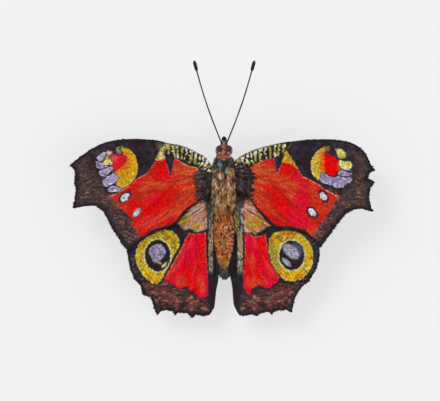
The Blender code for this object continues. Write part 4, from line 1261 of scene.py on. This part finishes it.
def body_roots(low, high, pitch, rng):
    """Tuft places over a stretch of the body, evenly spread by its surface."""
    fine = np.arange(low, high, 0.02)
    travelled = distance_along(body_place(fine, np.full(len(fine), 0.8)))
    rows = []
    for i, distance in enumerate(np.arange(0, travelled[-1], pitch * 0.87)):
        along = np.interp(distance, travelled, fine)
        ring = body_place(np.full(RING_SIDES, along), 2 * math.pi * np.arange(RING_SIDES) / RING_SIDES)
        girth = np.linalg.norm(ring - np.roll(ring, 1, axis=0), axis=1).sum()
        count = max(4, int(girth / pitch))
        angles = (np.arange(count) + i % 2 / 2 + rng.uniform(-0.35, 0.35, count)) * 2 * math.pi / count
        rows.append(np.column_stack([along + rng.uniform(-0.35, 0.35, count) * pitch, angles]))
    roots = np.vstack(rows)
    return np.clip(roots[:, 0], low, high), roots[:, 1]


SEEN_SHARE = 0.5  # a tuft takes the colour of the place this far out along it
DARK_SHARE = 0.1  # this share of the tufts is darker
# name, from, to, pitch, length, width, lift away from the skin and curl back to it
BODY_COATS = [
    ("abdomen_hair", -18.35, -5.4, 0.125, 0.50, 0.10, 0.26, 0.5),
    ("thorax_hair", -5.5, 6.0, 0.135, 1.05, 0.10, 0.34, 0.5),
    ("head_hair", 6.0, 9.5, 0.10, 0.50, 0.07, 0.45, 0.5),
    ("neck_ruff", 5.2, 6.1, 0.09, 0.70, 0.08, 2.2, 0.5),
    ("tail_tuft", -17.6, -16.6, 0.085, 0.95, 0.09, 0.75, 1.7),
]


def body_coat(name, low, high, pitch, length, width, lift, curl):
    rng = np.random.default_rng([61, len(name)])
    along, angle = body_roots(low, high, pitch, rng)
    roots = body_place(along, angle, -0.03)
    outward, back, around = body_directions(along, angle)
    count = len(roots)
    spread = rng.normal(0, 0.22, (count, 1)) + 0.35 * np.sin(angle)[:, None] * (name == "thorax_hair")
    lie = -back if name in ("head_hair", "neck_ruff") else back
    ways = unit(lie + spread * around + lift * rng.uniform(0.6, 1.6, (count, 1)) * outward)
    bends = 0.35 * (lie * 0.6 - outward * curl) * rng.uniform(0.4, 1.2, (count, 1))
    lengths = length * rng.uniform(0.65, 1.25, count)
    seen = roots + ways * (SEEN_SHARE * lengths)[:, None]
    colours = paint_body(seen, outward) * rng.normal(1.0, 0.18, (count, 1))
    colours[rng.random(count) < DARK_SHARE] *= 0.5
    widths = width * rng.uniform(0.7, 1.2, count)
    form = locks(roots, ways, bends, lengths, widths, colours, body_patches(along, angle))
    placed(name, form, "hair", "body_hair")


def make_body():
    body_skin()
    for coat in BODY_COATS:
        body_coat(*coat)


# Eyes, feelers, palps, tongue and legs

EYE_CENTRE = (0.92, 7.75, 7.6)
EYE_HALF_SIZES = (0.86, 1.12, 1.18)
ANTENNA_BASE = (0.42, 9.0, 8.1)
ANTENNA_TIPS = {"left": (6.15, 26.1, 12.4), "right": (6.2, 26.1, 12.4)}
ANTENNA_BOW = 0.4
CLUB_LENGTH, CLUB_RADIUS, CLUB_SHOULDER = 2.3, 0.34, 0.22
SHAFT_RADIUS = 0.14
ANTENNA_SEGMENT = 0.44
PALP = [(0.50, 8.5, 6.4, 0.30), (0.44, 9.3, 6.3, 0.31), (0.29, 10.0, 6.7, 0.28), (0.17, 10.35, 7.6, 0.21),
        (0.11, 10.5, 8.5, 0.13)]
MOUTH = (0.0, 8.5, 6.4)
COIL_CENTRE = (0.0, 9.15, 4.55)
COIL_START_RADIUS, COIL_PITCH, COIL_TURNS, COIL_START_ANGLE = 1.15, 0.72, 1.2, 105.0
# Places and radii of the legs' joints on the right side, as in the part's source
LEGS = {
    "foreleg": [(0.7, 4.4, 5.4, 0.38), (1.05, 4.7, 4.3, 0.36), (1.25, 5.4, 3.9, 0.33),
        (1.2, 6.4, 4.15, 0.33), (1.0, 7.4, 4.6, 0.30), (0.85, 8.1, 4.85, 0.20)],
    "midleg": [(1.0, 1.2, 4.9, 0.42), (2.4, 1.9, 4.2, 0.40), (4.4, 3.0, 4.7, 0.36), (6.2, 4.0, 5.3, 0.30),
        (6.8, 4.3, 4.9, 0.32), (7.6, 4.7, 2.9, 0.28), (8.4, 5.2, 0.75, 0.27), (8.9, 5.5, 0.30, 0.27),
        (9.9, 6.0, 0.19, 0.25), (11.0, 6.5, 0.19, 0.25), (12.2, 7.0, 0.19, 0.25)],
    "hindleg": [(1.0, -2.2, 4.8, 0.42), (2.3, -3.2, 4.1, 0.40), (4.2, -4.9, 4.5, 0.36),
        (6.0, -6.5, 5.0, 0.30), (6.5, -7.0, 4.6, 0.32), (7.1, -8.2, 2.7, 0.28), (7.7, -9.6, 0.75, 0.27),
        (8.1, -10.2, 0.30, 0.27), (8.8, -11.2, 0.19, 0.25), (9.5, -12.3, 0.19, 0.25),
        (10.3, -13.5, 0.19, 0.25)],
}
LEG_FULLNESS = 0.68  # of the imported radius; the rest is hair
CLAW_LENGTH, CLAW_WIDTH = 0.42, 0.12
PALP_HAIR, LEG_HAIR, SPINE, CLAW = (150, 110, 96), (74, 56, 46), (34, 26, 24), (30, 22, 20)
FLOOR_GAP = 0.01  # spines and claws stay this high
ANY_WAY = (0.31, 0.13, 0.94)  # a direction that no limb takes, to start its rings from


def tube(points, radii, colours, sides=12):
    """A closed tube round a line of points, with a colour for each ring."""
    points = np.asarray(points, float)
    ways = unit(np.gradient(points, axis=0))
    side = np.cross(ways[0], ANY_WAY)
    rings = []
    turns = 2 * math.pi * np.arange(sides) / sides
    for point, way, radius in zip(points, ways, radii):
        side = side - way * (side @ way)
        side /= np.linalg.norm(side)
        other = np.cross(way, side)
        rings.append(point + radius * (np.cos(turns)[:, None] * side + np.sin(turns)[:, None] * other))
    return {
        "corners": np.vstack([*rings, points[:1], points[-1:]]),
        "triangles": ring_triangles(len(points), sides),
        "colours": np.vstack([np.repeat(colours, sides, axis=0), colours[:1], colours[-1:]]),
    }


def on_side(form, side, of_head=True):
    """Puts a form that was made on the right on its side. One of the head follows the body's lean too."""
    corners = form["corners"] * (SIDES[side], 1, 1)
    if of_head:
        corners[:, 0] += lean(corners[:, 1])
    return {**form, "corners": corners, "triangles": form["triangles"][:, ::SIDES[side]]}


def limb_hair(line, radii, rng, colour, spacing, length, width, lift):
    """Tufts round a limb, lying towards its end."""
    travelled = distance_along(line)
    count = int(travelled[-1] * 2 * math.pi * np.mean(radii) / spacing**2)
    share = rng.uniform(0, 1, count) * travelled[-1]
    middles = at_distances(line, travelled, share)
    ways = unit(at_distances(np.gradient(line, axis=0), travelled, share))
    radius = np.interp(share, travelled, radii)
    turns = rng.uniform(0, 2 * math.pi, count)
    side = unit(np.cross(ways, ANY_WAY))
    out = side * np.cos(turns)[:, None] + np.cross(ways, side) * np.sin(turns)[:, None]
    roots = middles + out * (radius * 0.85)[:, None]
    lie = unit(ways + out * (lift * rng.uniform(0.6, 1.4, count))[:, None])
    colours = np.array(colour, float) * rng.normal(1.0, 0.16, (count, 1))
    spots = np.column_stack([turns / (2 * math.pi), share / travelled[-1]])
    lengths = length * rng.uniform(0.6, 1.2, count)
    return locks(roots, lie, -0.25 * out, lengths, width * rng.uniform(0.7, 1.2, count), colours, spots)


def make_eye(side):
    form = bmesh.new()
    bmesh.ops.create_icosphere(form, subdivisions=5, radius=1)
    corners = np.array([tuple(v.co) for v in form.verts]) * EYE_HALF_SIZES + EYE_CENTRE
    triangles = np.array([[v.index for v in face.verts] for face in form.faces])
    form.free()
    x, y, z = corners.T
    colours = laid(
        plain((30, 27, 27), corners),
        ((160, 156, 146), 0.85 * edge(noise(y, z, 0.55, 72) - 0.45 + 0.3 * (7.7 - y), 0.3)),
        ((64, 44, 40), 0.7 * edge(0.3 - noise(x, y, 0.4, 73), 0.2)),
    )
    ball = {"corners": corners, "triangles": triangles, "colours": colours}
    placed(f"eye_{side}_ball", on_side(ball, side), "eye", "eye", f"eye_{side}")


def make_antenna(side):
    base, tip = np.array(ANTENNA_BASE), np.array(ANTENNA_TIPS[side])
    length = np.linalg.norm(tip - base)
    share = np.arange(0, 1 + 1e-9, 0.04 / length)
    points = base + share[:, None] * (tip - base)
    points[:, 0] += ANTENNA_BOW * np.sin(math.pi * share)
    travelled = share * length
    to_tip = (length - travelled) / CLUB_LENGTH
    swelling = np.sqrt(np.clip((1 - to_tip) / CLUB_SHOULDER, 0, 1))
    in_segment = travelled / ANTENNA_SEGMENT % 1
    radii = SHAFT_RADIUS + (CLUB_RADIUS - SHAFT_RADIUS) * swelling
    radii *= 1 + 0.10 * np.sin(math.pi * in_segment) ** 2
    radii *= 1 + 0.5 * np.clip(1 - travelled / 0.5, 0, 1)
    radii *= np.sqrt(np.clip((length - travelled) / 0.5, 0.03, 1))
    pale = edge(0.30 - np.abs(in_segment - 0.3), 0.1) * edge(to_tip - 1.05, 0.1) * edge(travelled - 0.5, 0.3)
    pale = pale * edge(noise(travelled, 0 * travelled + SIDES[side], 1.1, 79) - 0.4, 0.4)
    colours = laid(plain((20, 17, 19), points), ((120, 118, 120), 0.7 * pale))
    shaft = on_side(tube(points, radii, colours, 14), side)
    placed(f"antenna_{side}_shaft", shaft, "shell", "dark_shell", f"antenna_{side}")


def make_palp(side):
    rng = np.random.default_rng([71, SIDES[side] + 1])
    line = smooth_line(PALP, 0.05)
    way, radii = line[:, :3], line[:, 3] * 0.9
    colours = laid(plain((126, 86, 74), line), ((34, 28, 30), edge(line[:, 1] - 10.0, 0.4)))
    core = on_side(tube(way, radii, colours), side)
    placed(f"palp_{side}_core", core, "shell", "body_hair", f"palp_{side}")
    hair = limb_hair(way, radii, rng, PALP_HAIR, spacing=0.07, length=0.34, width=0.05, lift=0.25)
    middle = hair["corners"].reshape(-1, 7, 3).mean(axis=1)
    dark = np.repeat(edge(middle[:, 1] - 9.95, 0.4), 7)
    hair["colours"] = laid(hair["colours"], ((36, 30, 32), dark))
    placed(f"palp_{side}_hair", on_side(hair, side), "hair", "body_hair")


def make_proboscis():
    turned = np.arange(0, COIL_TURNS + 1e-9, 1 / 220)
    angle = math.radians(COIL_START_ANGLE) - 2 * math.pi * turned
    radius = COIL_START_RADIUS - COIL_PITCH * turned
    swing = np.column_stack([np.zeros(len(turned)), np.cos(angle), np.sin(angle)])
    coil = COIL_CENTRE + radius[:, None] * swing
    line = np.vstack([np.linspace(MOUTH, coil[0], 14)[:-1], coil])
    groove = np.arange(len(line)) / 4 % 1 < 0.3
    radii = np.linspace(0.19, 0.14, len(line)) * (1 - 0.12 * groove)
    colours = laid(plain((58, 36, 26), line), ((28, 18, 16), groove))
    coil = on_side(tube(line, radii, colours, 14), "right")
    placed("proboscis_coil", coil, "shell", "dark_shell", "proboscis")


def make_leg(kind, side):
    rng = np.random.default_rng([81, len(kind), SIDES[side] + 1])
    line = smooth_line(LEGS[kind], 0.06)
    way, radii = line[:, :3], line[:, 3] * LEG_FULLNESS
    travelled = distance_along(way)
    on_foot = edge(0.9 - line[:, 2], 0.3)
    ringed = radii * (1 - on_foot * 0.16 * np.abs(np.sin(math.pi * travelled / 1.1)))
    colours = laid(plain((52, 38, 32), line), ((112, 84, 62), 0.8 * on_foot))
    colours = grained(colours, noise(travelled, travelled * 0, 0.6, 82), 0.3)
    shell = on_side(tube(way, ringed, colours), side, of_head=False)
    placed(f"{kind}_{side}_shell", shell, "shell", "dark_shell", f"{kind}_{side}")
    upper = line[:, 2] > 0.7
    fur = limb_hair(way[upper], ringed[upper], rng, LEG_HAIR, spacing=0.10, length=0.42, width=0.06, lift=0.3)
    parts = [fur]
    if kind != "foreleg":
        foot = line[:, 2] < 2.6
        spines = limb_hair(way[foot], radii[foot], rng, SPINE, spacing=0.34, length=0.34, width=0.05,
                           lift=0.55)
        end = way[[-1, -1]]
        heading = unit(way[-1:] - way[-8:-7])
        splay = np.cross(heading, (0, 0, 1)) * np.array([[0.5], [-0.5]])
        claws = locks(end, unit(heading + splay), plain((0, 0, -0.35), end), np.full(2, CLAW_LENGTH),
                      np.full(2, CLAW_WIDTH), plain(CLAW, end), np.array([(0.2, 0.99), (0.7, 0.99)]))
        for part in (spines, claws):
            part["corners"][:, 2] = np.maximum(part["corners"][:, 2], FLOOR_GAP)
        parts += [spines, claws]
    placed(f"{kind}_{side}_hair", on_side(together(parts), side, of_head=False), "hair", "body_hair")


def make_limbs():
    make_proboscis()
    for side in SIDES:
        make_eye(side)
        make_antenna(side)
        make_palp(side)
        for kind in LEGS:
            make_leg(kind, side)


# Stage

FLOOR_SIZE, FLOOR_GREY, FLOOR_GLOW = 1.6, 0.26, 0.61
WORLD_LIGHT = 0.66
LIGHTS = {"key": ((-0.45, 0.5, 0.9), 0.6, 4.8), "fill": ((0.6, -0.3, 1.0), 0.9, 2.4)}  # place, size and power


def make_stage():
    bpy.ops.mesh.primitive_plane_add(size=FLOOR_SIZE)
    floor = bpy.context.object
    floor.name = "floor"
    material, shader = new_material("pale_floor", 0.9, 0.1)
    shader.inputs["Base Color"].default_value = (FLOOR_GREY, FLOOR_GREY, FLOOR_GREY, 1)
    shader.inputs["Emission Color"].default_value = (1, 1, 1, 1)
    shader.inputs["Emission Strength"].default_value = FLOOR_GLOW
    floor.data.materials.append(material)


CAMERA_OVER = (-0.6, -2.5)  # the camera looks straight down on this place
FRAME_WIDTH = 90.2  # what the picture shows from side to side at the height of the wings
WING_LEVEL = 9.0
LENS = 400.0
SENSOR = 36.0


def make_camera():
    data = bpy.data.cameras.new("camera")
    data.lens = LENS
    data.sensor_width = SENSOR
    data.clip_start = 0.01
    camera = bpy.data.objects.new("camera", data)
    height = WING_LEVEL + FRAME_WIDTH * LENS / SENSOR
    camera.location = Vector((*CAMERA_OVER, height)) * MM
    bpy.context.scene.collection.objects.link(camera)
    bpy.context.scene.camera = camera


def make_lights():
    world = bpy.data.worlds.new("studio")
    world.use_nodes = True
    background = world.node_tree.nodes["Background"]
    background.inputs["Color"].default_value = (1, 1, 1, 1)
    background.inputs["Strength"].default_value = WORLD_LIGHT
    bpy.context.scene.world = world
    for name, (place, size, power) in LIGHTS.items():
        data = bpy.data.lights.new(name, "AREA")
        data.shape = "DISK"
        data.size = size
        data.energy = power
        light = bpy.data.objects.new(name, data)
        light.location = place
        light.rotation_euler = (-Vector(place)).to_track_quat("-Z", "Y").to_euler()
        bpy.context.scene.collection.objects.link(light)
    bpy.context.scene.view_settings.view_transform = "Standard"


make_stage()
make_camera()
make_lights()
make_wings()
make_body()
make_limbs()
